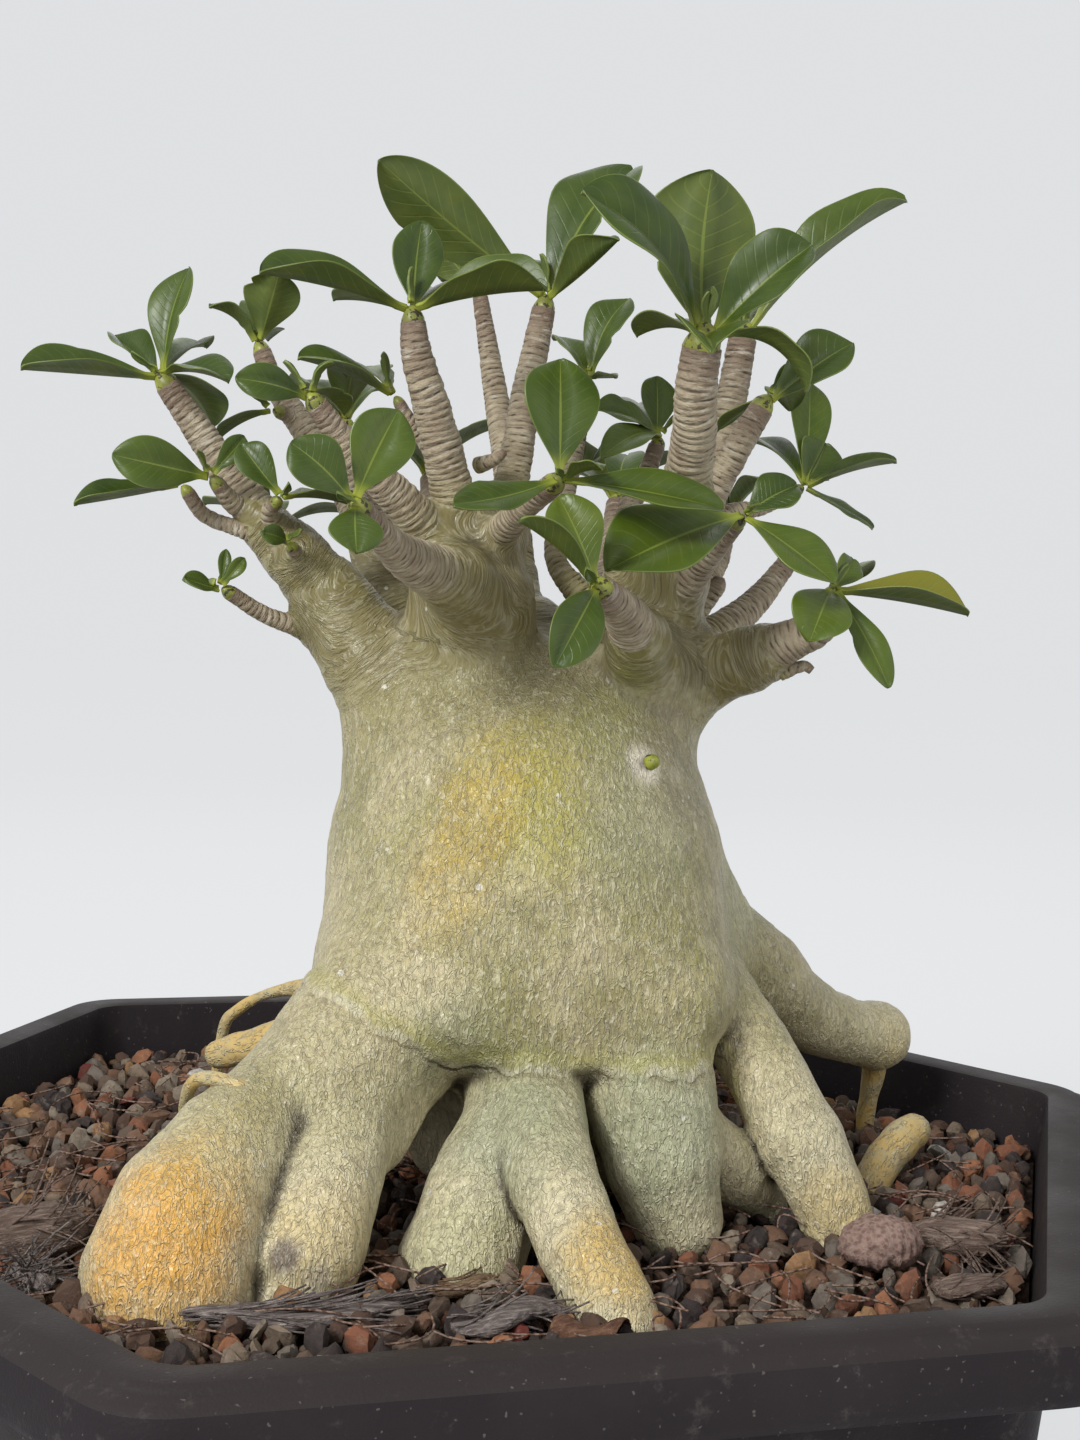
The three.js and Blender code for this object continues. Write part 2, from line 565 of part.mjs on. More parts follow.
// A closed skin of quads around everything where the field is negative, one vertex for each sheet in a cell.
function skin(field, from, to, cell) {
  const size = from.map((low, axis) => Math.ceil((to[axis] - low) / cell) + 1);
  const index = (i, j, k) => i + size[0] * (j + size[1] * k);
  const place = (i, j, k) => [from[0] + i * cell, from[1] + j * cell, from[2] + k * cell];
  const values = new Float32Array(size[0] * size[1] * size[2]);
  for (let k = 0; k < size[2]; k += 1) {
    for (let j = 0; j < size[1]; j += 1) {
      for (let i = 0; i < size[0]; i += 1) {
        values[index(i, j, k)] = field(...place(i, j, k));
      }
    }
  }
  const vertices = [];
  const sheetVertex = new Map();
  for (let k = 0; k + 1 < size[2]; k += 1) {
    for (let j = 0; j + 1 < size[1]; j += 1) {
      for (let i = 0; i + 1 < size[0]; i += 1) {
        const at = (corner) => index(i + (corner & 1), j + ((corner >> 1) & 1), k + (corner >> 2));
        const inside = [...Array(8).keys()].map((corner) => values[at(corner)] < 0);
        if (inside.some((value) => value !== inside[0])) {
          const sheets = cellSheets(inside);
          const sums = new Map();
          for (let edge = 0; edge < 12; edge += 1) {
            const [start, end] = edgeCorners(edge);
            if (inside[start] !== inside[end]) {
              const t = values[at(start)] / (values[at(start)] - values[at(end)]);
              const point = [0, 1, 2].map((axis) => ((start >> axis) & 1) + ((edge >> 2) === axis ? t : 0));
              const crossing = vector(place(i + point[0], j + point[1], k + point[2]));
              const sum = sums.get(sheets[edge]) ?? { total: new THREE.Vector3(), edges: [] };
              sum.total.add(crossing);
              sum.edges.push(edge);
              sums.set(sheets[edge], sum);
            }
          }
          for (const { total, edges } of sums.values()) {
            const vertex = vertices.push(total.divideScalar(edges.length)) - 1;
            edges.forEach((edge) => sheetVertex.set(index(i, j, k) * 12 + edge, vertex));
          }
        }
      }
    }
  }
  vertices.forEach((vertex) => seat(vertex, field));
  const triangles = [];
  for (let k = 0; k + 1 < size[2]; k += 1) {
    for (let j = 0; j + 1 < size[1]; j += 1) {
      for (let i = 0; i + 1 < size[0]; i += 1) {
        for (let axis = 0; axis < 3; axis += 1) {
          const next = [i, j, k];
          next[axis] += 1;
          const [start, end] = [values[index(i, j, k)] < 0, values[index(...next)] < 0];
          if (start !== end) {
            const quad = [[0, 0], [1, 0], [1, 1], [0, 1]].map(([u, v]) => {
              const base = [i, j, k];
              base[(axis + 1) % 3] -= u;
              base[(axis + 2) % 3] -= v;
              return sheetVertex.get(index(...base) * 12 + cellEdge(axis, u, v));
            });
            pushQuad(triangles, vertices, start ? quad : quad.reverse());
          }
        }
      }
    }
  }
  return solid(vertices, triangles);
}

// Moves a vertex onto the field's zero surface.
function seat(vertex, field) {
  const h = 0.2;
  const { x, y, z } = vertex;
  const here = field(x, y, z);
  const slope = new THREE.Vector3(field(x + h, y, z), field(x, y + h, z), field(x, y, z + h));
  slope.subScalar(here).divideScalar(h);
  const shift = THREE.MathUtils.clamp(here / Math.max(slope.lengthSq(), 0.25), -1.5, 1.5);
  vertex.addScaledVector(slope, -shift);
}

function pushQuad(triangles, vertices, [a, b, c, d]) {
  if (vertices[a].distanceTo(vertices[c]) < vertices[b].distanceTo(vertices[d])) {
    triangles.push(a, b, c, a, c, d);
  } else {
    triangles.push(a, b, d, b, c, d);
  }
}

function woodSolid() {
  const twigs = Object.values({ ...SHOOTS, ...BACK_SHOOTS }).map(({ twig }) => twig);
  const thin = [...ROOTLETS, ...BARE_TWIGS, ...twigs].map((points) => tube(points, TWIG_SIDES, 1));
  const grown = unite([skin(woodField(thickWood()), SKIN_FROM, SKIN_TO, SKIN_CELL), ...thin]);
  return grown.intersect(turnedBlock(2 * RIM_CORNER, 2 * RIM_CORNER, 2 * RIM_CORNER, 0, 0, ROOT_FOOT, 0));
}

// ---- Leaves ----

function bladeStations(length) {
  if (length > 30) {
    return [0, 0.26, 0.56, 0.83, 1];
  }
  return length > 13 ? [0, 0.34, 0.74, 1] : [0, 0.6, 1];
}

// An obovate blade, folded along its midrib, from base to tip.
function leafSolid(base, tip, width, arch, fold, facing) {
  const chord = new THREE.Vector3().subVectors(tip, base);
  const length = chord.length();
  const forward = chord.clone().divideScalar(length);
  const upper = vector(facing);
  upper.addScaledVector(forward, -upper.dot(forward)).normalize();
  const middle = new THREE.Vector3().lerpVectors(base, tip, 0.5).addScaledVector(upper, 2 * arch);
  const midrib = new THREE.QuadraticBezierCurve3(base, middle, tip);
  const rise = THREE.MathUtils.degToRad(fold);
  const rings = bladeStations(length).map((t) => {
    const tangent = midrib.getTangent(t);
    const side = new THREE.Vector3().crossVectors(tangent, upper).normalize();
    const normal = new THREE.Vector3().crossVectors(side, tangent);
    const half = Math.max(width / 2 * Math.sin(Math.PI * t ** 1.6) ** 0.75, PETIOLE_HALF_WIDTH);
    const point = (across, through) => midrib.getPoint(t)
      .addScaledVector(side, across * half * Math.cos(rise))
      .addScaledVector(normal, Math.abs(across) * half * Math.sin(rise) + through * BLADE_THICKNESS / 2);
    return [point(-1, 1), point(0, 1), point(1, 1), point(1, -1), point(0, -1), point(-1, -1)];
  });
  const triangles = [];
  for (let level = 0; level + 1 < rings.length; level += 1) {
    for (let side = 0; side < 6; side += 1) {
      const a = 6 * level + side;
      const b = 6 * level + (side + 1) % 6;
      // The under side is split along the same diagonals as the upper side.
      if (side === 3 || side === 4) {
        triangles.push(a, b, a + 6, b, b + 6, a + 6);
      } else {
        triangles.push(a, b, b + 6, a, b + 6, a + 6);
      }
    }
  }
  const end = 6 * (rings.length - 1);
  triangles.push(0, 4, 1, 0, 5, 4, 1, 3, 2, 1, 4, 3);
  triangles.push(end, end + 1, end + 4, end, end + 4, end + 5);
  triangles.push(end + 1, end + 2, end + 3, end + 1, end + 3, end + 4);
  return solid(rings.flat(), triangles);
}

// The green tip of a shoot, standing on the twig's blunt end, with its leaves sunk into it.
function rosetteSolid(twig, leaves) {
  const end = twig[twig.length - 1];
  const curve = new THREE.CatmullRomCurve3(twig.map(vector));
  const axis = curve.getTangent(1);
  const along = (distance, radius) => [...vector(end).addScaledVector(axis, distance).toArray(), radius];
  const radius = end[3];
  const core = tube([along(GAP, radius * 0.92), along(SHOOT_TIP, radius * 0.5)], TWIG_SIDES, 1);
  const blades = leaves.map(([dx, dy, dz, width, arch, fold, facing]) => {
    const tip = new THREE.Vector3(end[0] + dx, end[1] + dy, end[2] + dz);
    const base = vector(along(LEAF_SEAT, 0));
    const outwards = new THREE.Vector3().subVectors(tip, base);
    outwards.addScaledVector(axis, -outwards.dot(axis)).normalize();
    base.addScaledVector(outwards, radius * LEAF_INSET);
    return leafSolid(base, tip, width, arch, fold, typeof facing === "string" ? FACING[facing] : facing);
  });
  return unite([core, ...blades]);
}

// Leaves for a shoot that the front view hides: a whorl that opens at the golden angle.
function whorl([count, length, width], random) {
  const turn = random() * 2 * Math.PI;
  return [...Array(count).keys()].map((leaf) => {
    const heading = turn + leaf * GOLDEN_ANGLE;
    const reach = length * THREE.MathUtils.lerp(0.8, 1.1, random());
    const lift = THREE.MathUtils.lerp(0.25, 0.75, random());
    return [
      reach * Math.cos(heading) * Math.cos(lift), reach * Math.sin(heading) * Math.cos(lift),
      reach * Math.sin(lift), width * THREE.MathUtils.lerp(0.85, 1.1, random()), WHORL_ARCH, WHORL_FOLD, "up",
    ];
  });
}

// ---- Soil and what lies on it ----

// The surface rises a little towards the stem.
function soilLevel(x, y) {
  const [stemX, stemY] = CAUDEX[0][0];
  return SOIL_TOP + SOIL_MOUND * Math.max(0, 1 - Math.hypot(x - stemX, y - stemY) / MOUND_REACH);
}

// A six-sided slab whose top is a lattice of pebbles: every third lattice point stands up as one pebble.
function soilSlab() {
  const random = stream(7);
  const rings = Math.ceil(MOUTH_CORNER / PEBBLE_PITCH);
  const vertices = [];
  const lookup = new Map();
  for (let q = -rings; q <= rings; q += 1) {
    for (let r = Math.max(-rings, -rings - q); r <= Math.min(rings, rings - q); r += 1) {
      const rim = Math.max(Math.abs(q), Math.abs(r), Math.abs(q + r)) === rings;
      const crown = ((q - r) % 3 + 3) % 3 === 0;
      const jitter = () => (random() - 0.5) * (rim ? 0 : PEBBLE_JITTER * 2);
      const x = (q + r / 2) * PEBBLE_PITCH + jitter();
      const y = r * Math.sqrt(0.75) * PEBBLE_PITCH + jitter();
      const lift = crown ? PEBBLE_HEIGHT * THREE.MathUtils.lerp(...PEBBLE_SIZES, random()) : random();
      const height = soilLevel(x, y) + lift - HOLLOW_DEPTH;
      lookup.set(`${q},${r}`, vertices.push(new THREE.Vector3(x, y, height)) - 1);
    }
  }
  const triangles = [];
  for (let q = -rings; q < rings; q += 1) {
    for (let r = -rings; r <= rings; r += 1) {
      const pairs = [[q, r], [q + 1, r], [q, r + 1], [q + 1, r - 1]];
      const [a, b, c, d] = pairs.map((pair) => lookup.get(pair.join()));
      if ([a, b, c].every((vertex) => vertex !== undefined)) {
        triangles.push(a, b, c);
      }
      if ([a, b, d].every((vertex) => vertex !== undefined)) {
        triangles.push(a, d, b);
      }
    }
  }
  return closeDownwards(vertices, triangles, POT_FLOOR);
}

// Gives an open sheet a skirt and a flat floor.
function closeDownwards(vertices, triangles, floor) {
  const follows = new Map();
  for (let index = 0; index < triangles.length; index += 3) {
    for (let side = 0; side < 3; side += 1) {
      const [a, b] = [triangles[index + side], triangles[index + (side + 1) % 3]];
      if (follows.get(b) instanceof Set && follows.get(b).has(a)) {
        follows.get(b).delete(a);
      } else {
        follows.set(a, (follows.get(a) ?? new Set()).add(b));
      }
    }
  }
  const low = new Map();
  const centre = vertices.push(new THREE.Vector3(0, 0, floor)) - 1;
  const lower = (vertex) => {
    if (!low.has(vertex)) {
      low.set(vertex, vertices.push(vertices[vertex].clone().setZ(floor)) - 1);
    }
    return low.get(vertex);
  };
  for (const [a, ends] of follows) {
    for (const b of ends) {
      triangles.push(a, lower(a), b, b, lower(a), lower(b), lower(b), lower(a), centre);
    }
  }
  return solid(vertices, triangles);
}

// The same solid with its faces moved out by a small amount, used to cut a hole with clearance.
function swollen(piece, amount) {
  const mesh = piece.getMesh();
  const geometry = meshGeometry(mesh);
  geometry.computeVertexNormals();
  const [position, normal] = [geometry.attributes.position, geometry.attributes.normal];
  const vertices = [...Array(position.count).keys()].map((vertex) => new THREE.Vector3()
    .fromBufferAttribute(position, vertex)
    .addScaledVector(new THREE.Vector3().fromBufferAttribute(normal, vertex), amount));
  return solid(vertices, mesh.triVerts);
}

// A rough chip: a lozenge with uneven corners, part of it sunk in the soil. A level is [height, spread].
function litterSolid([x, y, length, width, height, turn], seed) {
  const random = stream(seed);
  const levels = [[-0.2, 0.85], [0.5, 1], [1, 0.55]];
  const rings = levels.map(([level, spread]) => (
    [...Array(LITTER_SIDES).keys()].map((side) => {
      const angle = (side / LITTER_SIDES) * 2 * Math.PI;
      const rough = spread * THREE.MathUtils.lerp(...LITTER_ROUGHNESS, random());
      return new THREE.Vector3(
        length / 2 * rough * Math.cos(angle), width / 2 * rough * Math.sin(angle), height * level,
      ).applyAxisAngle(new THREE.Vector3(0, 0, 1), THREE.MathUtils.degToRad(turn))
        .add(new THREE.Vector3(x, y, soilLevel(x, y) + LITTER_RISE));
    })
  ));
  return loft(rings);
}

function soilSolid(wood, litter) {
  const inside = [innerCorner(POT_FLOOR) - GAP * 1.2, innerCorner(POT_HEIGHT) - GAP * 1.2];
  let soil = soilSlab().intersect(loft([
    hexagon(inside[0], MOUTH_FILLET, POT_FLOOR + GAP), hexagon(inside[1], MOUTH_FILLET, POT_HEIGHT),
  ]));
  for (const piece of [wood, ...litter]) {
    soil = soil.subtract(swollen(piece, GAP));
  }
  return soil;
}

// ---- Assembly ----

function meshGeometry(mesh) {
  const geometry = new THREE.BufferGeometry();
  geometry.setAttribute("position", new THREE.BufferAttribute(new Float32Array(mesh.vertProperties), 3));
  geometry.setIndex(new THREE.BufferAttribute(new Uint32Array(mesh.triVerts), 1));
  return geometry;
}

const plant = new THREE.Group();

function add(name, piece, colour, roughness) {
  const geometry = meshGeometry(piece.getMesh());
  geometry.computeVertexNormals();
  const material = new THREE.MeshStandardMaterial({ color: colour, roughness, metalness: 0 });
  const mesh = new THREE.Mesh(geometry, material);
  mesh.name = name;
  plant.add(mesh);
}

const wood = woodSolid();
const litter = Object.entries(LITTER).map(([name, sizes], index) => [name, litterSolid(sizes, 31 + index)]);
add("pot", potSolid(), COLOURS.pot, 0.75);
add("soil", soilSolid(wood, litter.map(([, piece]) => piece)), COLOURS.soil, 0.95);
add("trunk", wood, COLOURS.wood, 0.6);
for (const [name, piece] of litter) {
  add(name, piece, name === "soil_lump_right" ? COLOURS.lump : COLOURS.husk, 0.95);
}
for (const [name, { twig, leaves }] of Object.entries(SHOOTS)) {
  add(name, rosetteSolid(twig, leaves), COLOURS.leaf, 0.35);
}
const random = stream(11);
for (const [name, shoot] of Object.entries(BACK_SHOOTS)) {
  add(name, rosetteSolid(shoot.twig, whorl(shoot.whorl, random)), COLOURS.leaf, 0.35);
}

export default plant;
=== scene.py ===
"""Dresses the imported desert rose: bark, leaves, gravel, pot and what lies on the gravel.

Lengths in the tables are millimetres in the frame's own axes: +Z up, -Y the front, and two corners of
the pot on X. Meshes are made in millimetres and scaled to metres when they become objects.
"""

import logging
import math
from dataclasses import dataclass, field
from enum import Enum
from itertools import product
from typing import Callable, Iterable, Sequence

import bpy
import numpy as np
from mathutils import Matrix, Vector, noise

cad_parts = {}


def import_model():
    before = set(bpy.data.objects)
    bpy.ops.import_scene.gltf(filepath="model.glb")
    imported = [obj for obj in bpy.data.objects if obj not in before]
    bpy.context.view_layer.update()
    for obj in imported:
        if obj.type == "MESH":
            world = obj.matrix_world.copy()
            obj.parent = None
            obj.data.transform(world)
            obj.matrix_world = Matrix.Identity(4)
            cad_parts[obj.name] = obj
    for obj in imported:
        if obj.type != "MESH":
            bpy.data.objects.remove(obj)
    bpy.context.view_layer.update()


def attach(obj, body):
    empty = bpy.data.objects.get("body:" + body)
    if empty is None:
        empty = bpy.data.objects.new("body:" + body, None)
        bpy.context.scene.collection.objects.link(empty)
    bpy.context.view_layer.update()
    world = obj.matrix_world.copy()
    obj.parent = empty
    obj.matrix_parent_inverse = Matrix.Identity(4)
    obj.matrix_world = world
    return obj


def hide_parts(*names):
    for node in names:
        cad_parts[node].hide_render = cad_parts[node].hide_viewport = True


MM = 0.001
BODY = "root"
CURVE_STEPS = 12
LEAF_SEED = 17
WHORL_SEED = 11
Array = np.ndarray
Colour = tuple[float, float, float]
Socket = bpy.types.NodeSocket

# Thick wood, as (x, y, z, radius) along each stretch. The first stretch is the swollen stem itself.
CAUDEX = [
    [(18, -6, 106, 36), (15.5, -6, 120, 42), (15, -5, 134, 48), (13, -5, 158, 47), (12, -5, 170, 43)],
]
ROOTS = [
    [(18, -2, 104, 26), (18, 0, 74, 17)],
    [(-14, -25, 139, 17), (-29, -35, 123, 18), (-39, -45, 112, 16)],
    [(-12, -32, 128, 13), (-24.5, -43, 113, 8.5), (-31, -49, 105, 8.5)],
    [(-43, -40, 120, 12), (-53, -48, 112, 11), (-61, -55, 105, 13.5), (-70, -63, 94, 17), (-74, -67, 83, 18),
     (-75, -69, 72, 14)],
    [(-34, -45, 114, 13), (-42, -60, 98, 11.8), (-47, -68, 87, 12), (-50, -71, 77, 9.3), (-51, -72, 70, 8.5)],
    [(6, -38, 122, 14), (1, -50, 106, 11.6), (-8.5, -58, 91, 12.8), (-13, -62, 81, 13.6), (-15, -63, 70, 10)],
    [(5, -48, 114, 12), (4, -68, 102, 9.5), (7, -84, 90, 9), (11, -94, 81, 8.5), (14, -100, 72, 7)],
    [(32, -40, 129, 16), (32, -48, 113, 15), (34, -54, 99, 13.5), (37, -56, 86, 10.5), (38, -56, 77, 7)],
    [(44, -48, 101, 9), (55, -44, 92, 8), (64, -40, 84, 5.5), (68, -39, 76, 4)],
    [(55, -30, 129, 10), (62, -42, 115, 9.5), (68, -52, 100, 9.8), (73, -57, 88, 8.6), (77, -60, 76, 7.5)],
    [(58, -5, 140, 15), (76, 0, 128, 12.5), (86, 3, 121, 10), (97, 8, 114, 8.8), (108, 12, 110, 8.5),
     (117, 15, 108, 9.3)],
    [(-10, 24, 130, 16), (-20, 50, 106, 13), (-30, 74, 86, 12), (-33, 82, 72, 9)],
    [(16, 28, 128, 17), (18, 56, 104, 13), (14, 78, 84, 11), (12, 86, 72, 8)],
    [(38, 22, 130, 15), (54, 46, 106, 12), (66, 64, 86, 10), (71, 72, 72, 8)],
]
LIMBS = [
    [(-11, -3, 190, 20), (-25, -2, 206, 12), (-36, 1, 222, 9), (-44, 3, 231, 6.5)],
    [(-8, 14, 200, 12), (-14, 18, 212, 7.5), (-18, 24, 227, 5)],
    [(-5, -16, 222, 8), (-14, -20, 235, 5.5)],
    [(-4, -22, 220, 9), (-12, -34, 225, 7)],
    [(3, -8, 193, 16), (-4, -12, 212, 14), (-4, -14, 222, 13.5), (-4, -15, 231, 11)],
    [(33, -5, 190, 20), (42, -9, 209, 15), (40, -12, 218, 13), (41, -13, 228, 12), (42, -14, 234, 9)],
    [(43, -16, 231, 8.5), (41, -34, 245, 5.5)],
    [(40, -12, 201, 12), (54, -20, 205, 8), (62, -30, 210, 6)],
    [(16, 20, 206, 10), (17, 32, 226, 6)],
    [(20, 6, 196, 12), (20, 16, 214, 8)],
    [(34, -28, 208, 8), (29, -40, 213, 6.5)],
    [(-1, 16, 194, 16), (-8, 26, 209, 11)],
    [(14, 16, 194, 18), (11, 32, 210, 11)],
    [(34, 10, 196, 16), (43, 24, 208, 11)],
]

# Hollows under the stem, between the legs, cut before the legs are added.
HOLLOWS = [
    [(-15, -42, 112, 4), (-18, -34, 105, 11), (-20, -30, 94, 16), (-22, -28, 80, 18)],
    [(16, -52, 112, 3), (19, -44, 103, 8), (20, -40, 90, 11), (20, -38, 80, 12)],
    [(50, -38, 116, 4), (52, -32, 106, 9), (54, -28, 92, 13), (55, -26, 80, 15)],
]

# Thin roots and twigs: tubes that start inside the thick wood.
ROOTLETS = [
    [(117, 15, 107, 5), (118, 18, 97, 3), (118, 21, 87, 2.5), (118, 23, 74, 2.5)],
    [(57, -40, 91, 5), (72, -35, 80, 4.5), (80, -35, 74, 4.5), (91, -32, 77, 4.5),
     (101, -24, 85, 4.8), (109, -18, 89, 4.8), (115, -13, 90, 4.5)],
    [(-26, -2, 119, 9), (-46, 10, 112, 5), (-57, 18, 108, 3.6)],
    [(-50, -53, 109, 2.6), (-54, -57, 115, 1.7), (-59.5, -55, 118.4, 1.7), (-64.5, -50, 119.2, 1.6),
     (-68, -44, 117.2, 1.5), (-69.5, -38, 111, 1.3), (-69, -33, 104, 1)],
    [(-26, 28, 122, 4), (-40, 43, 118, 1.5), (-49, 50, 112, 1.5), (-53, 54, 104, 1.5), (-55, 57, 76, 1.5)],
]
BARE_TWIG = [(54, 2, 209, 5.5), (73, 10, 220, 4), (82, 14, 228, 3.1), (88, 16, 235, 2.5)]

# Short bare stubs, where twigs broke off or end in a bud.
STUBS = [
    [(54, -6, 219, 2.8), (57, -8, 224, 2.5), (58.5, -9, 226.5, 2.3), (59, -9.5, 228.5, 1.2)],
    [(66, -33, 206, 1.8), (69, -35, 207.5, 1.5), (71, -36, 208, 1.3), (72.5, -36.5, 207, 1.0)],
    [(-11, -17, 238, 3.2), (-13, -21, 241, 2.6), (-14, -23, 242.5, 2.2), (-14.5, -24, 243.5, 1.2)],
    [(-4, -17, 252, 2.0), (-1.5, -20, 253, 1.6), (0, -21.5, 254, 1.3), (1, -22.5, 255, 0.8)],
]
BUD = [(30, -44, 185.6, 2.0), (30.8, -46.4, 186.2, 1.9)]

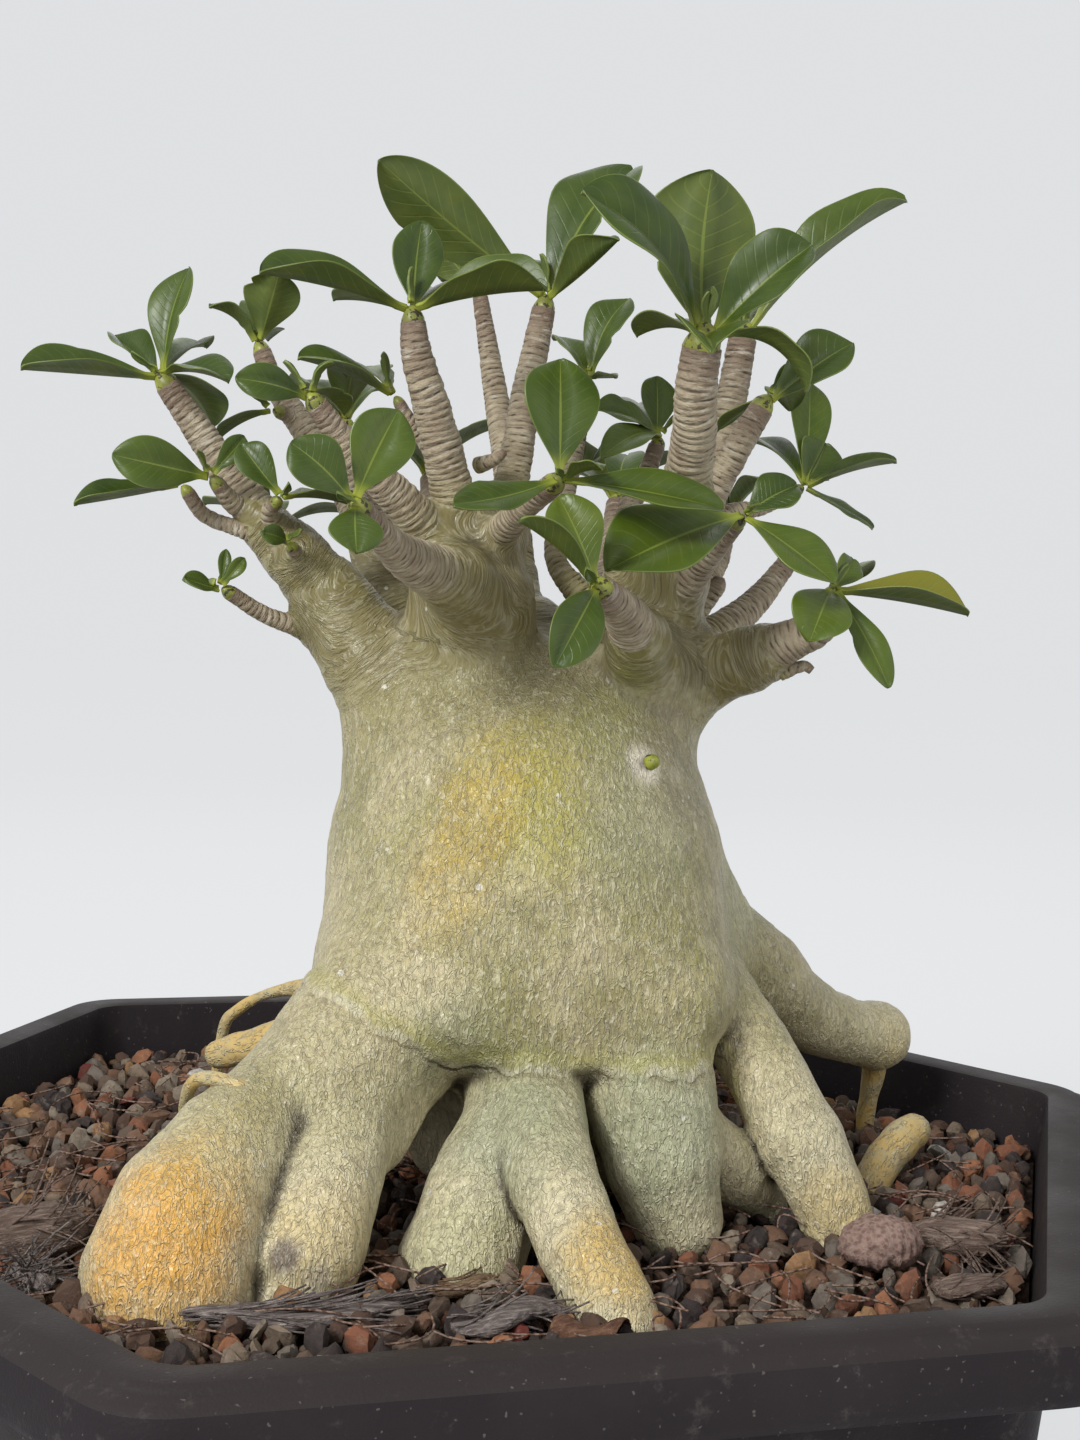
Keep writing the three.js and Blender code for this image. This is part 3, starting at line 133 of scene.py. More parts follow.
# A leaf is (x, y, z of its tip from the twig's end, width, arch, fold in degrees, facing): arch lifts the
# middle of the blade, fold raises both halves from the midrib, facing is where its upper side looks.
FACING = {
    "up": (0, 0, 1),
    "front": (0, -1, 0.15),
    "back": (0, 1, 0.3),
    "upfront": (0, -1, 1),
    "upback": (0, 1, 1),
    "upish": (0, -0.45, 1),
    "left": (-1, 0, 0.5),
    "upleft": (-1, -1, 0.6),
    "frontleft": (-1, -1, 0.2),
}
SHOOTS = {
    "rosette_left_tip": (
        [(-44, 3, 231, 6.5), (-55, 6, 244, 4.8), (-65, 8, 258, 3.6), (-73, 8, 269, 2.9)],
        [(-33, -8, 1, 14, 0, 46, "upish"), (-12, 12, 12, 12, 0.5, 35, "upish"), (5, 5, 28, 12, 2, 25, "frontleft"),
         (13, -14, 0, 13, 1.5, 25, "upish"), (10, 18, 12, 12, 2, 20, "up"), (12, 12, -8, 13, 3, 15, "up")]),
    "rosette_left_low": (
        [(-47, 3, 233, 3), (-56, 3, 236, 2), (-64, 5, 239, 1.8), (-68, 5, 244, 1.7)],
        [(-26, -7, -4, 9, 0, 46, "upish"), (-7, 12, 7, 7, 1, 20, "up")]),
    "rosette_left_side": (
        [(-52, 5, 240, 3.5), (-58, 1, 242, 2.4), (-62, -3, 246, 1.8)],
        [(-24, -6, 5, 11.5, 1.5, 15, "front"), (6, 0, 11, 5.5, 1, 15, "front")]),
    "rosette_left_inner": (
        [(-48, 3, 235, 3), (-50, -4, 240, 1.9), (-49, -8, 242, 1.6)],
        [(-8, 2, 13, 8.5, 1, 20, "front"), (19, 12, 1, 11, 1, 20, "up")]),
    "leaf_left_limb": (
        [(-42, 0, 228, 2.5), (-45, -7, 232, 1.5)],
        [(-8, -6, 3, 4.8, 1, 20, "front")]),
    "rosette_left_bottom": (
        [(-36, 0, 212, 3), (-50, -4, 216, 2), (-59, -8, 221, 1.8)],
        [(-11, -4, 3, 6, 0, 20, "upfront"), (-1, 2, 10, 3, 0, 20, "front"), (3, -1, 8, 3.5, 1, 20, "front")]),
    "rosette_left_back": (
        [(-15, 20, 216, 7), (-26, 33, 247, 4), (-37, 40, 264, 3.6), (-44, 44, 275, 2.8), (-47, 46, 283, 2.4)],
        [(-14, -4, 10, 7, 2, 30, "up"), (3, -8, 19, 14, 0, 15, "back"), (1, 16, 14, 10, 2, 20, "up"),
         (4, 22, 6, 11, 2, 20, "up")]),
    "rosette_left_back_low": (
        [(-37, 40, 264, 2.6), (-40, 39, 266, 2), (-43, 37, 267, 1.8)],
        [(-15, 3, -7, 11, 1, 15, "up")]),
    "rosette_left_front": (
        [(-12, -19, 233, 6), (-24, -27, 243, 4.4), (-36, -32, 253, 3.3), (-44, -35, 262, 2.4)],
        [(-18, -5, 4, 8, 2, 18, "front"), (3, -3, 9, 3, 1, 40, "left"), (9, 18, 0, 8, 2, 20, "up")]),
    "rosette_front_left": (
        [(-12, -34, 225, 7), (-26, -53, 229, 4.8), (-34, -65, 233, 3.3), (-41, -77, 238, 2.6)],
        [(-14, -2, 12, 10.5, 1, 15, "front"), (8, 4, 20, 12.5, -1, 15, "front"), (-2, -10, -9, 10, 1, 10, "front")]),
    "rosette_centre_left": (
        [(-8, -17, 235, 6.5), (-11, -22, 246, 5), (-17, -26, 264, 4.2), (-21, -28, 275, 3.5), (-22, -28, 282, 2.8)],
        [(-35, -8, 7, 16, 1, 48, "upish"), (-15, 20, 7, 9, 1, 25, "up"), (3, 8, 24, 11.5, -2, 15, "front"),
         (27, -14, 7, 19, 1, 55, "upish"), (12, 26, 10, 13, 3, 20, "up")]),
    "rosette_centre_low": (
        [(-12, -21, 249, 2.5), (-17, -20, 256, 1.6), (-23, -19, 265, 1.4)],
        [(-24, -6, 8, 11, 1, 35, "upish"), (-8, 24, 8, 11, 3, 20, "up")]),
    "rosette_centre_tall": (
        [(3, -13, 236, 6), (6, -12, 252, 4), (9, -10, 270, 3.6), (13, -8, 290, 2.8)],
        [(-42, -10, 29, 15.5, 2, 15, "back"), (25, 12, 37, 21, 5, 25, "upleft"),
         (12, -20, 14, 14, -1, 50, "up"), (-4, 18, 14, 11, 2, 20, "up")]),
    "rosette_front_centre": (
        [(-1, -20, 234, 4.5), (1, -40, 241, 3), (4, -55, 246, 2.5)],
        [(2, 5, 27, 16, 1, 12, "front"), (37, -4, -4, 12, 1, 25, "upfront"), (-25, -16, -6, 9, -1, 15, "upfront"),
         (8, -10, 3, 8, 1, 20, "up")]),
    "rosette_front_low": (
        [(29, -39, 213, 6.5), (21, -54, 219, 4.6), (12, -66, 224, 2.8)],
        [(-9, 3, 19, 12, 1, 20, "front"), (-21, -12, 13, 9, 1, 35, "up"), (-14, -16, -16, 11, 3, 20, "front")]),
    "rosette_right_tall": (
        [(42, -30, 245, 6), (39, -44, 259, 5), (37, -50, 268, 4.7), (37, -53, 277, 4.4)],
        [(-32, -13, 28, 22, 5, 20, "upfront"), (2, 3, 39, 25, 2, 15, "back"), (21, -9, 22, 18, 2, 32, "upfront"),
         (22, -7, -9, 12, 5, 25, "up"), (-6, -24, -4, 19, 0, 40, "up"), (-10, 16, 4, 12, 2, 25, "up")]),
    "rosette_rear_tall": (
        [(50, -3, 228, 6.5), (60, 4, 248, 4.6), (66, 9, 267, 4.2), (70, 10, 289, 3.6)],
        [(39, -10, 36, 19, 4, 46, "upish"), (-6, 24, 12, 12, 3, 20, "up"), (15, 28, 15, 14, 3, 20, "up")]),
    "rosette_right_inner": (
        [(48, -8, 232, 6), (55, -11, 247, 3.8), (61, -14, 260, 3.4), (66, -15, 269, 3)],
        [(20, -7, 16, 15, 2, 25, "upfront"), (-5, 17, -4, 5, 1, 10, "up"), (14, 16, 2, 10, 3, 20, "up")]),
    "rosette_front_right": (
        [(42, -16, 221, 7), (46, -28, 230, 4.2), (48, -38, 236, 2.9), (50, -43, 240, 2.2)],
        [(14, -1, 9, 11, 0.5, 20, "upfront"), (18, -15, -13, 13, 1, 15, "upfront"),
         (-35, -17, -12, 20, 1, 20, "upfront")]),
    "rosette_right_side": (
        [(54, 2, 230, 5), (66, 7, 244, 2.8), (78, 12, 247, 1.8), (88, 14, 252, 1.6)],
        [(24, -8, 8, 8.5, 1, 40, "upish"), (10, 6, 13, 14, 0, 20, "front"), (9, 16, 30, 11, 1, 15, "front"),
         (21, -2, -9, 8, 0, 10, "upish"), (-6, 22, 14, 12, 3, 20, "up")]),
    "rosette_right_tip": (
        [(60, -28, 209, 6.5), (67, -37, 214, 4.8), (72, -41, 217, 3.8), (73, -43, 223, 2.8)],
        [(31, -9, -2, 15, 0.5, 50, "upish"), (8, 5, 10, 7, 1, 20, "front"), (-10, -14, -9, 14, 2, 20, "upfront"),
         (10, -13, -19, 7.5, 1.5, 15, "front"), (16, 20, 6, 12, 3, 20, "up")]),
    "rosette_middle_right": (
        [(41, -4, 223, 7), (42, 12, 243, 3.4), (49, 20, 255, 2.5), (52, 22, 262, 2.2)],
        [(2, 8, 19, 10, 0, 20, "front"), (-19, -6, 8, 10, 2, 25, "upfront"), (-20, -18, -5, 9, 3, 20, "upfront"),
         (-14, 10, -4, 6.5, 2, 20, "upfront"), (2, 26, 13, 13, 3, 20, "up")]),
    "rosette_middle": (
        [(30, -4, 218, 4), (21, 4, 232, 2.6), (27, 18, 248, 2.4), (33, 28, 266, 2.1), (35, 30, 277, 1.9)],
        [(12, 4, 24, 12, 3, 20, "frontleft"), (-5, 14, 14, 9, 2, 20, "up"), (5, -10, 2, 5, 0, 20, "up")]),
    "rosette_back_centre": (
        [(17, 30, 222, 6.5), (19, 44, 250, 4.2), (17, 55, 276, 3.3), (13, 60, 303, 2.1)],
        [(-12, 2, 15, 11, 2, 20, "back"), (20, 14, 8, 12, 3, 20, "up"), (-6, 24, 8, 12, 3, 20, "up")]),
}
# Shoots at the back: a twig and the number, length and width of the leaves in its whorl.
BACK_SHOOTS = {
    "rosette_back_far_left": (
        [(-14, 22, 206, 11), (-28, 42, 220, 5.5), (-37, 56, 229, 4), (-41, 64, 236, 2.8)], (4, 24, 12)),
    "rosette_back_left": (
        [(-8, 28, 210, 10), (-15, 50, 236, 5.5), (-20, 60, 254, 4), (-22, 64, 266, 2.8)], (4, 26, 13)),
    "rosette_back_middle": (
        [(10, 32, 209, 10), (7, 62, 230, 5.5), (6, 78, 244, 4), (6, 88, 255, 2.8)], (4, 28, 14)),
    "rosette_back_right": (
        [(40, 22, 207, 10), (48, 48, 226, 5.5), (55, 66, 240, 4), (58, 76, 250, 2.8)], (4, 27, 13)),
    "rosette_back_far_right": (
        [(44, 20, 205, 10), (66, 38, 220, 5), (79, 50, 234, 4), (84, 56, 244, 2.8)], (4, 26, 12)),
}
TWIGS = [*[twig for twig, _ in (*SHOOTS.values(), *BACK_SHOOTS.values())], BARE_TWIG]


def smoothstep(low: float, high: float, value: Array) -> Array:
    """Rise smoothly from 0 at low to 1 at high.

    Args:
        low: Where the rise starts.
        high: Where it ends.
        value: The values to map.

    Returns:
        Values from 0 to 1.
    """
    t = np.clip((value - low) / (high - low), 0, 1)
    return t * t * (3 - 2 * t)


def unit(vectors: Array) -> Array:
    """Scale vectors, in the last axis, to a length of 1."""
    return vectors / np.maximum(np.linalg.norm(vectors, axis=-1, keepdims=True), 1e-9)


def smooth_curve(points: Array, steps: int) -> Array:
    """Run a smooth curve through rows of numbers, such as (x, y, z, radius).

    Args:
        points: The rows that the curve passes through.
        steps: How many samples lie between two rows.

    Returns:
        The sampled rows.
    """
    padded = np.vstack([2 * points[0] - points[1], points, 2 * points[-1] - points[-2]])
    t = np.linspace(0, 1, steps, endpoint=False)[:, None]
    spans = []
    for a, b, c, d in zip(padded, padded[1:], padded[2:], padded[3:]):
        spans.append(0.5 * (2 * b + (c - a) * t + (2 * a - 5 * b + 4 * c - d) * t ** 2
                            + (3 * b - a - 3 * c + d) * t ** 3))
    return np.vstack([*spans, points[-1:]])


def by_length(rows: Array, spacing: float) -> tuple[Array, Array]:
    """Resample a curve at even steps along its length.

    Args:
        rows: Samples whose first three columns are a place.
        spacing: The step that is wanted.

    Returns:
        The new rows, and their distance along the curve.
    """
    lengths = np.concatenate([[0], np.cumsum(np.linalg.norm(np.diff(rows[:, :3], axis=0), axis=1))])
    along = np.linspace(0, lengths[-1], max(3, round(lengths[-1] / spacing) + 1))
    return np.column_stack([np.interp(along, lengths, column) for column in rows.T]), along


def carried_frames(places: Array) -> tuple[Array, Array, Array]:
    """Carry a pair of axes along a curve without twist.

    Args:
        places: The curve's points.

    Returns:
        The tangent, the first and the second cross axis at each point.
    """
    tangents = unit(np.gradient(places, axis=0))
    first = np.zeros_like(tangents)
    start = np.array([1.0, 0, 0]) if abs(tangents[0][2]) > 0.9 else np.array([0, 0, 1.0])
    for index, tangent in enumerate(tangents):
        start = start - tangent * start.dot(tangent)
        start = start / np.linalg.norm(start)
        first[index] = start
    return tangents, first, np.cross(tangents, first)


def random_stream(seed: int) -> Callable[[], float]:
    """Start the stream of repeatable numbers that placed the CAD's hidden leaves.

    Args:
        seed: Where the stream starts.

    Returns:
        A function that gives the next number, from 0 to 1.
    """
    state, factor, step, size = [seed], 1664525, 1013904223, 2 ** 32

    def draw() -> float:
        """Step the stream."""
        state[0] = (state[0] * factor + step) % size
        return state[0] / size

    return draw


def placed(name: str, data: bpy.types.ID) -> bpy.types.Object:
    """Put a new object into the scene.

    Args:
        name: Its name.
        data: Its mesh, camera or light.

    Returns:
        The object.
    """
    piece = bpy.data.objects.new(name, data)
    bpy.context.scene.collection.objects.link(piece)
    return piece


@dataclass
class Shell:
    """A mesh in the making: places in millimetres, faces, and numbers that its material reads."""

    places: Array
    faces: list[tuple[int, ...]]
    values: dict[str, Array] = field(default_factory=dict)
    parts: Array | None = None
    uvs: Array | None = None

    @staticmethod
    def join(shells: Sequence["Shell"]) -> "Shell":
        """Put several shells into one, keeping each one's values and material numbers.

        Args:
            shells: The shells, which have values of the same names.

        Returns:
            The joined shell.
        """
        starts = np.cumsum([0, *[len(shell.places) for shell in shells]]).tolist()
        faces = [tuple(corner + start for corner in face)
                 for shell, start in zip(shells, starts) for face in shell.faces]
        values = {name: np.concatenate([shell.values[name] for shell in shells]) for name in shells[0].values}
        parts, uvs = (None if getattr(shells[0], name) is None
                      else np.concatenate([getattr(shell, name) for shell in shells]) for name in ("parts", "uvs"))
        return Shell(np.concatenate([shell.places for shell in shells]), faces, values, parts, uvs)

    def outward(self) -> "Shell":
        """Turn every face over if the closed shell is inside out.

        Returns:
            This shell.
        """
        volume = 0.0
        for face in self.faces:
            a, b = self.places[face[0]], self.places[face[1]]
            for corner in face[2:]:
                c = self.places[corner]
                volume += np.dot(a, np.cross(b, c))
                b = c
        if volume < 0:
            self.faces = [face[::-1] for face in self.faces]
        return self

    def build(self, name: str, *materials: bpy.types.Material) -> bpy.types.Object:
        """Make the Blender object, in metres, at the origin.

        Args:
            name: The object's name.
            materials: Its materials, in the order of the numbers in parts.

        Returns:
            The new object.
        """
        mesh = bpy.data.meshes.new(name)
        mesh.from_pydata((self.places * MM).tolist(), [], self.faces)
        for material in materials:
            mesh.materials.append(material)
        for key, value in self.values.items():
            kind = "FLOAT_VECTOR" if value.ndim == 2 else "FLOAT"
            attribute = mesh.attributes.new(key, kind, "POINT")
            attribute.data.foreach_set("vector" if value.ndim == 2 else "value", value.astype(np.float32).ravel())
        if self.parts is not None:
            mesh.polygons.foreach_set("material_index", self.parts.astype(np.int32))
        if self.uvs is not None:
            corners = np.zeros(len(mesh.loops), np.int32)
            mesh.loops.foreach_get("vertex_index", corners)
            layer = mesh.uv_layers.new(name="UVMap")
            layer.data.foreach_set("uv", self.uvs[corners].astype(np.float32).ravel())
        mesh.shade_smooth()
        mesh.update()
        return placed(name, mesh)


def ring_faces(rings: int, sides: int, start: int = 0) -> list[tuple[int, ...]]:
    """List the quads between stacked rings of equal length.

    Args:
        rings: How many rings there are.
        sides: How many points each has.
        start: The first point's number.

    Returns:
        The faces.
    """
    faces = []
    for level in range(rings - 1):
        for side in range(sides):
            a = start + level * sides + side
            b = start + level * sides + (side + 1) % sides
            faces.append((a, b, b + sides, a + sides))
    return faces


def closed_faces(rings: int, sides: int) -> list[tuple[int, ...]]:
    """List the faces of stacked rings with a fan at each end, around two points that follow the rings.

    Args:
        rings: How many rings there are.
        sides: How many points each has.

    Returns:
        The faces.
    """
    faces, top = ring_faces(rings, sides), (rings - 1) * sides
    for side in range(sides):
        following = (side + 1) % sides
        faces += [(rings * sides, following, side), (rings * sides + 1, top + side, top + following)]
    return faces


def lofted(rings: Array) -> tuple[Array, list[tuple[int, ...]]]:
    """Close a stack of rings with a fan at each end.

    Args:
        rings: Points by ring and side.

    Returns:
        The places and the faces.
    """
    places = np.vstack([rings.reshape(-1, 3), rings[0].mean(axis=0), rings[-1].mean(axis=0)])
    return places, closed_faces(*rings.shape[:2])


def circle(sides: int) -> Array:
    """Spread angles evenly over a turn."""
    return np.linspace(0, 2 * math.pi, sides, endpoint=False)


def tube(centres: Array, radius: Array, angles: Array, first: Array, second: Array) -> Array:
    """Lay rings of points around a curve.

    Args:
        centres: The curve's points.
        radius: The points' distance from the curve, by ring and angle.
        angles: The angles of a ring's points.
        first: The axis at angle 0, by ring.
        second: The axis a quarter of a turn further, by ring.

    Returns:
        Points by ring and side.
    """
    around = np.cos(angles)[None, :, None] * first[:, None] + np.sin(angles)[None, :, None] * second[:, None]
    return centres[:, None] + radius[..., None] * around


def tube_flow(radius: Array, angles: Array, along: Array, shift: float = 0.0) -> Array:
    """Give a closed tube's own coordinates, two across it and one along it.

    Args:
        radius: The points' distance from the curve, by ring and angle.
        angles: The angles of a ring's points.
        along: Each ring's distance along the curve.
        shift: Moves the first coordinate, so that tubes differ.

    Returns:
        The coordinates in metres, for the rings' points and both ends.
    """
    flat = np.broadcast_to(along[:, None], radius.shape)
    flow = np.stack([radius * np.cos(angles) + shift, radius * np.sin(angles), flat], axis=-1).reshape(-1, 3)
    return np.vstack([flow, flow[:1], flow[-1:]]) * MM


def fractal(places: Array, scale: Sequence[float] | float, octaves: int, seed: float) -> Array:
    """Sample layered noise at many places.

    Args:
        places: The places, in millimetres.
        scale: The size of the largest lumps, in millimetres, one number or one for each axis.
        octaves: How many layers of ever finer noise are added.
        seed: Shifts the pattern.

    Returns:
        Values around 0.
    """
    shifted = places / np.asarray(scale) + seed
    return np.array([noise.fractal(Vector(place), 0.8, 2.0, octaves) for place in shifted])


# ---- Node trees ----


class Value:
    """A socket that takes part in arithmetic with numbers and other sockets."""

    def __init__(self, nodes: "Nodes", socket: Socket) -> None:
        """Keep the tree and the socket."""
        self.nodes, self.socket = nodes, socket

    def __add__(self, other: object) -> "Value":
        """Add."""
        return self.nodes.math("ADD", self, other)

    def __radd__(self, other: object) -> "Value":
        """Add to a number."""
        return self.nodes.math("ADD", other, self)

    def __sub__(self, other: object) -> "Value":
        """Take away."""
        return self.nodes.math("SUBTRACT", self, other)

    def __rsub__(self, other: object) -> "Value":
        """Take away from a number."""
        return self.nodes.math("SUBTRACT", other, self)

    def __mul__(self, other: object) -> "Value":
        """Multiply."""
        return self.nodes.math("MULTIPLY", self, other)

    def __truediv__(self, other: object) -> "Value":
        """Divide."""
        return self.nodes.math("DIVIDE", self, other)

    def __abs__(self) -> "Value":
        """Drop the sign."""
        return self.nodes.math("ABSOLUTE", self)


class Nodes:
    """Adds and links nodes in one tree."""

    def __init__(self, tree: bpy.types.NodeTree) -> None:
        """Keep the tree."""
        self.tree = tree

    def add(self, kind: str, inputs: dict[str | int, object] | None = None, **settings: object) -> bpy.types.Node:
        """Add a node.

        Args:
            kind: The node's type.
            inputs: Values or sockets for its inputs.
            settings: Its own properties.

        Returns:
            The node.
        """
        node = self.tree.nodes.new(kind)
        for name, value in settings.items():
            setattr(node, name, value)
        for name, value in (inputs or {}).items():
            self.feed(node.inputs[name], value)
        return node

    def take(self, kind: str, inputs: dict[str | int, object] | None = None, output: str | int = 0,
             **settings: object) -> Value:
        """Add a node and take one of its outputs."""
        return Value(self, self.add(kind, inputs, **settings).outputs[output])

    def feed(self, target: Socket, value: object) -> None:
        """Link a value to a socket, or set the socket's own number or colour.

        Args:
            target: The socket that is fed.
            value: What it gets.
        """
        source = value.socket if isinstance(value, Value) else value
        if isinstance(source, bpy.types.NodeSocket):
            self.tree.links.new(source, target)
        elif hasattr(target.default_value, "__len__") and len(target.default_value) == 4:
            target.default_value = (*source[:3], 1.0)
        else:
            target.default_value = source

    def math(self, operation: str, *values: object, clamp: bool = False) -> Value:
        """Do arithmetic on values."""
        return self.take("ShaderNodeMath", dict(enumerate(values)), operation=operation, use_clamp=clamp)

    def scaled(self, place: Value, factor: Value) -> Value:
        """Scale coordinates by a value."""
        return self.take("ShaderNodeVectorMath", {0: place, "Scale": factor}, operation="SCALE")

    def rise(self, value: object, low: float, high: float, end: float = 1.0, start: float = 0.0) -> Value:
        """Map the range from low to high to start to end, smoothly and clamped."""
        limits = {"Value": value, "From Min": low, "From Max": high, "To Min": start, "To Max": end}
        return self.take("ShaderNodeMapRange", limits, interpolation_type="SMOOTHSTEP")

    def coated(self, colour: object, *coats: tuple[object, object]) -> Value:
        """Lay coats over a colour.

        Args:
            colour: The ground.
            coats: The mask and the colour of each coat, in order.

        Returns:
            The mixed colour.
        """
        for mask, tint in coats:
            colour = self.take("ShaderNodeMix", {0: mask, 6: colour, 7: tint}, 2, data_type="RGBA")
        return colour

    def noise(self, place: Value, size: float, detail: float = 3.0, rough: float = 0.5, warp: float = 0.0) -> Value:
        """Sample noise whose lumps are about size metres across."""
        return self.take("ShaderNodeTexNoise", {"Vector": place, "Scale": 1.0 / size, "Detail": detail,
                                                "Roughness": rough, "Distortion": warp}, "Fac")

    def clouds(self, place: Value, size: float, detail: float, rough: float, low: float, high: float,
               end: float = 1.0, start: float = 0.0) -> Value:
        """Sample noise and keep what rises from low to high."""
        return self.rise(self.noise(place, size, detail, rough), low, high, end, start)

    def stretched(self, place: Value, scale: tuple[float, float, float]) -> Value:
        """Scale coordinates by axis."""
        return self.take("ShaderNodeMapping", {"Vector": place, "Scale": scale})

    def place(self) -> Value:
        """Read the piece's own coordinates, in metres."""
        return self.take("ShaderNodeTexCoord", None, "Object")

    def attribute(self, name: str, output: str = "Fac") -> Value:
        """Read a named number or vector of the mesh."""
        return self.take("ShaderNodeAttribute", None, output, attribute_name=name)

    def steps(self, value: Value, stops: Sequence[tuple[float, Colour]]) -> Value:
        """Colour a value in steps.

        Args:
            value: A number from 0 to 1.
            stops: Where each colour starts.

        Returns:
            The colour.
        """
        node = self.add("ShaderNodeValToRGB", {"Fac": value})
        node.color_ramp.interpolation = "CONSTANT"
        elements = node.color_ramp.elements
        while len(elements) < len(stops):
            elements.new(1.0)
        for element, (place, colour) in zip(elements, stops):
            element.position = place
            element.color = (*colour, 1.0)
        return Value(self, node.outputs[0])


class Sharing:
    """Node groups that several materials share, each built once."""

    made: dict[str, bpy.types.NodeTree] = {}

    @classmethod
    def use(cls, nodes: Nodes, name: str, output: str, fill: Callable[..., Value], defaults: dict[str, object],
            *values: object) -> Value:
        """Place a group in a material, and build it on its first use.

        Args:
            nodes: The material's nodes.
            name: The group's name.
            output: What it puts out.
            fill: Adds the nodes between the group's inputs and its output.
            defaults: The names and defaults of its inputs.
            values: What this material feeds to them.

        Returns:
            The group's output.
        """
        if name not in cls.made:
            tree = cls.made[name] = bpy.data.node_groups.new(name, "ShaderNodeTree")
            for label, default in defaults.items():
                kind = "NodeSocketFloat" if isinstance(default, float) else "NodeSocketVector"
                tree.interface.new_socket(label, in_out="INPUT", socket_type=kind).default_value = default
            tree.interface.new_socket(output, in_out="OUTPUT", socket_type="NodeSocketFloat")
            inside = Nodes(tree)
            given, out = inside.add("NodeGroupInput").outputs, inside.add("NodeGroupOutput").inputs[0]
            inside.feed(out, fill(inside, *[Value(inside, given[label]) for label in defaults]))
        return nodes.take("ShaderNodeGroup", dict(zip(defaults, values)), node_tree=cls.made[name])

    @classmethod
    def patch(cls, nodes: Nodes, place: Value, centre: Sequence[float], radius: float, ragged: float = 0.4) -> Value:
        """Mask a soft ragged patch.

        Args:
            nodes: The material's nodes.
            place: Coordinates in metres.
            centre: The patch's middle, in millimetres.
            radius: Its radius, in millimetres.
            ragged: How far its edge wanders, as a share of the radius.

        Returns:
            A mask that is 1 in the middle.
        """
        def fill(inside: Nodes, vector: Value, middle: Value, reach: Value, wander: Value) -> Value:
            """Compare the distance to the centre, disturbed by noise, with the radius."""
            away = inside.take("ShaderNodeVectorMath", {0: vector, 1: middle}, "Value", operation="DISTANCE")
            return inside.rise(away / reach + (inside.noise(vector, 0.008, 4) - 0.5) * wander * 2, 1.15, 0.35)

        defaults = {"Vector": (0, 0, 0), "Centre": (0, 0, 0), "Radius": 0.01, "Ragged": 0.4}
        return cls.use(nodes, "Soft patch", "Mask", fill, defaults, place, [value * MM for value in centre],
                       radius * MM, ragged)

    @classmethod
    def squiggles(cls, nodes: Nodes, place: Value, size: float, width: float, cover: float) -> Value:
        """Mask short curly marks, as on the skin of a swollen stem.

        Args:
            nodes: The material's nodes.
            place: Coordinates in metres.
            size: The spacing of the marks, in millimetres.
            width: Their width, as a share of the noise's range.
            cover: How much of the surface has them, from 0 to 1.

        Returns:
            A mask that is 1 on a mark.
        """
        def fill(inside: Nodes, vector: Value, frequency: Value, wide: Value, covered: Value) -> Value:
            """Keep the middle contour of a noise, broken up by a second noise.

            Args:
                inside: The group's nodes.
                vector: Its coordinates.
                frequency: How many marks there are in a metre.
                wide: The marks' width.
                covered: How much of the surface has them.

            Returns:
                The mask.
            """
            scaled = inside.scaled(vector, frequency)
            contour = abs(inside.noise(scaled, 1, 1.5, 0.6, 0.6) - 0.5)
            line = inside.math("SUBTRACT", 1, contour / wide, clamp=True)
            above = inside.noise(scaled, 1 / 0.83, 2, 0.7) - (0.72 - covered * 0.42)
            return inside.math("MULTIPLY", line, inside.math("MULTIPLY", above, 14, clamp=True), clamp=True)

        defaults = {"Vector": (0, 0, 0), "Frequency": 600.0, "Width": 0.05, "Cover": 0.5}
        return cls.use(nodes, "Squiggles", "Mask", fill, defaults, place, 1 / (size * MM), width, cover)

    @classmethod
    def fibres(cls, nodes: Nodes, place: Value, size: float) -> Value:
        """Give the height of fine parallel fibres along the first coordinate.

        Args:
            nodes: The material's nodes.
            place: Coordinates in metres.
            size: The fibres' spacing, in millimetres.

        Returns:
            The height.
        """
        def fill(inside: Nodes, vector: Value, frequency: Value) -> Value:
            """Stretch noise along the fibres."""
            return inside.clouds(inside.stretched(inside.scaled(vector, frequency), (0.08, 1, 1)), 1, 4, 0.7, 0.3, 0.7)

        return cls.use(nodes, "Fibres", "Height", fill, {"Vector": (0, 0, 0), "Frequency": 900.0}, place,
                       1 / (size * MM))


# A painted surface: its colour, roughness, relief from 0 to 1, the relief's depth in millimetres, its strength.
Paint = tuple[Value, object, Value, float, float]


@dataclass(frozen=True)
class Finish:
    """What every finish has: a name, a slot, and plain values of its shader."""

    name: str
    slot: str
    coat: float = 0.0
    coat_roughness: float = 0.3
    specular: float = 0.5

    def paint(self, nodes: Nodes) -> Paint:
        """Paint the surface; each finish has its own way."""
        raise NotImplementedError

    def make(self) -> bpy.types.Material:
        """Build the material.

        Returns:
            The material.
        """
        material = bpy.data.materials.new(self.name)
        material.use_nodes = True
        nodes = Nodes(material.node_tree)
        shader = material.node_tree.nodes["Principled BSDF"]
        colour, rough, height, depth, strength = self.paint(nodes)
        bump = nodes.take("ShaderNodeBump", {"Strength": strength, "Distance": depth * MM, "Height": height})
        sockets = {"Coat Weight": self.coat, "Coat Roughness": self.coat_roughness, "Base Color": colour,
                   "Specular IOR Level": self.specular, "Roughness": rough, "Normal": bump}
        for name, value in sockets.items():
            nodes.feed(shader.inputs[name], value)
        return material


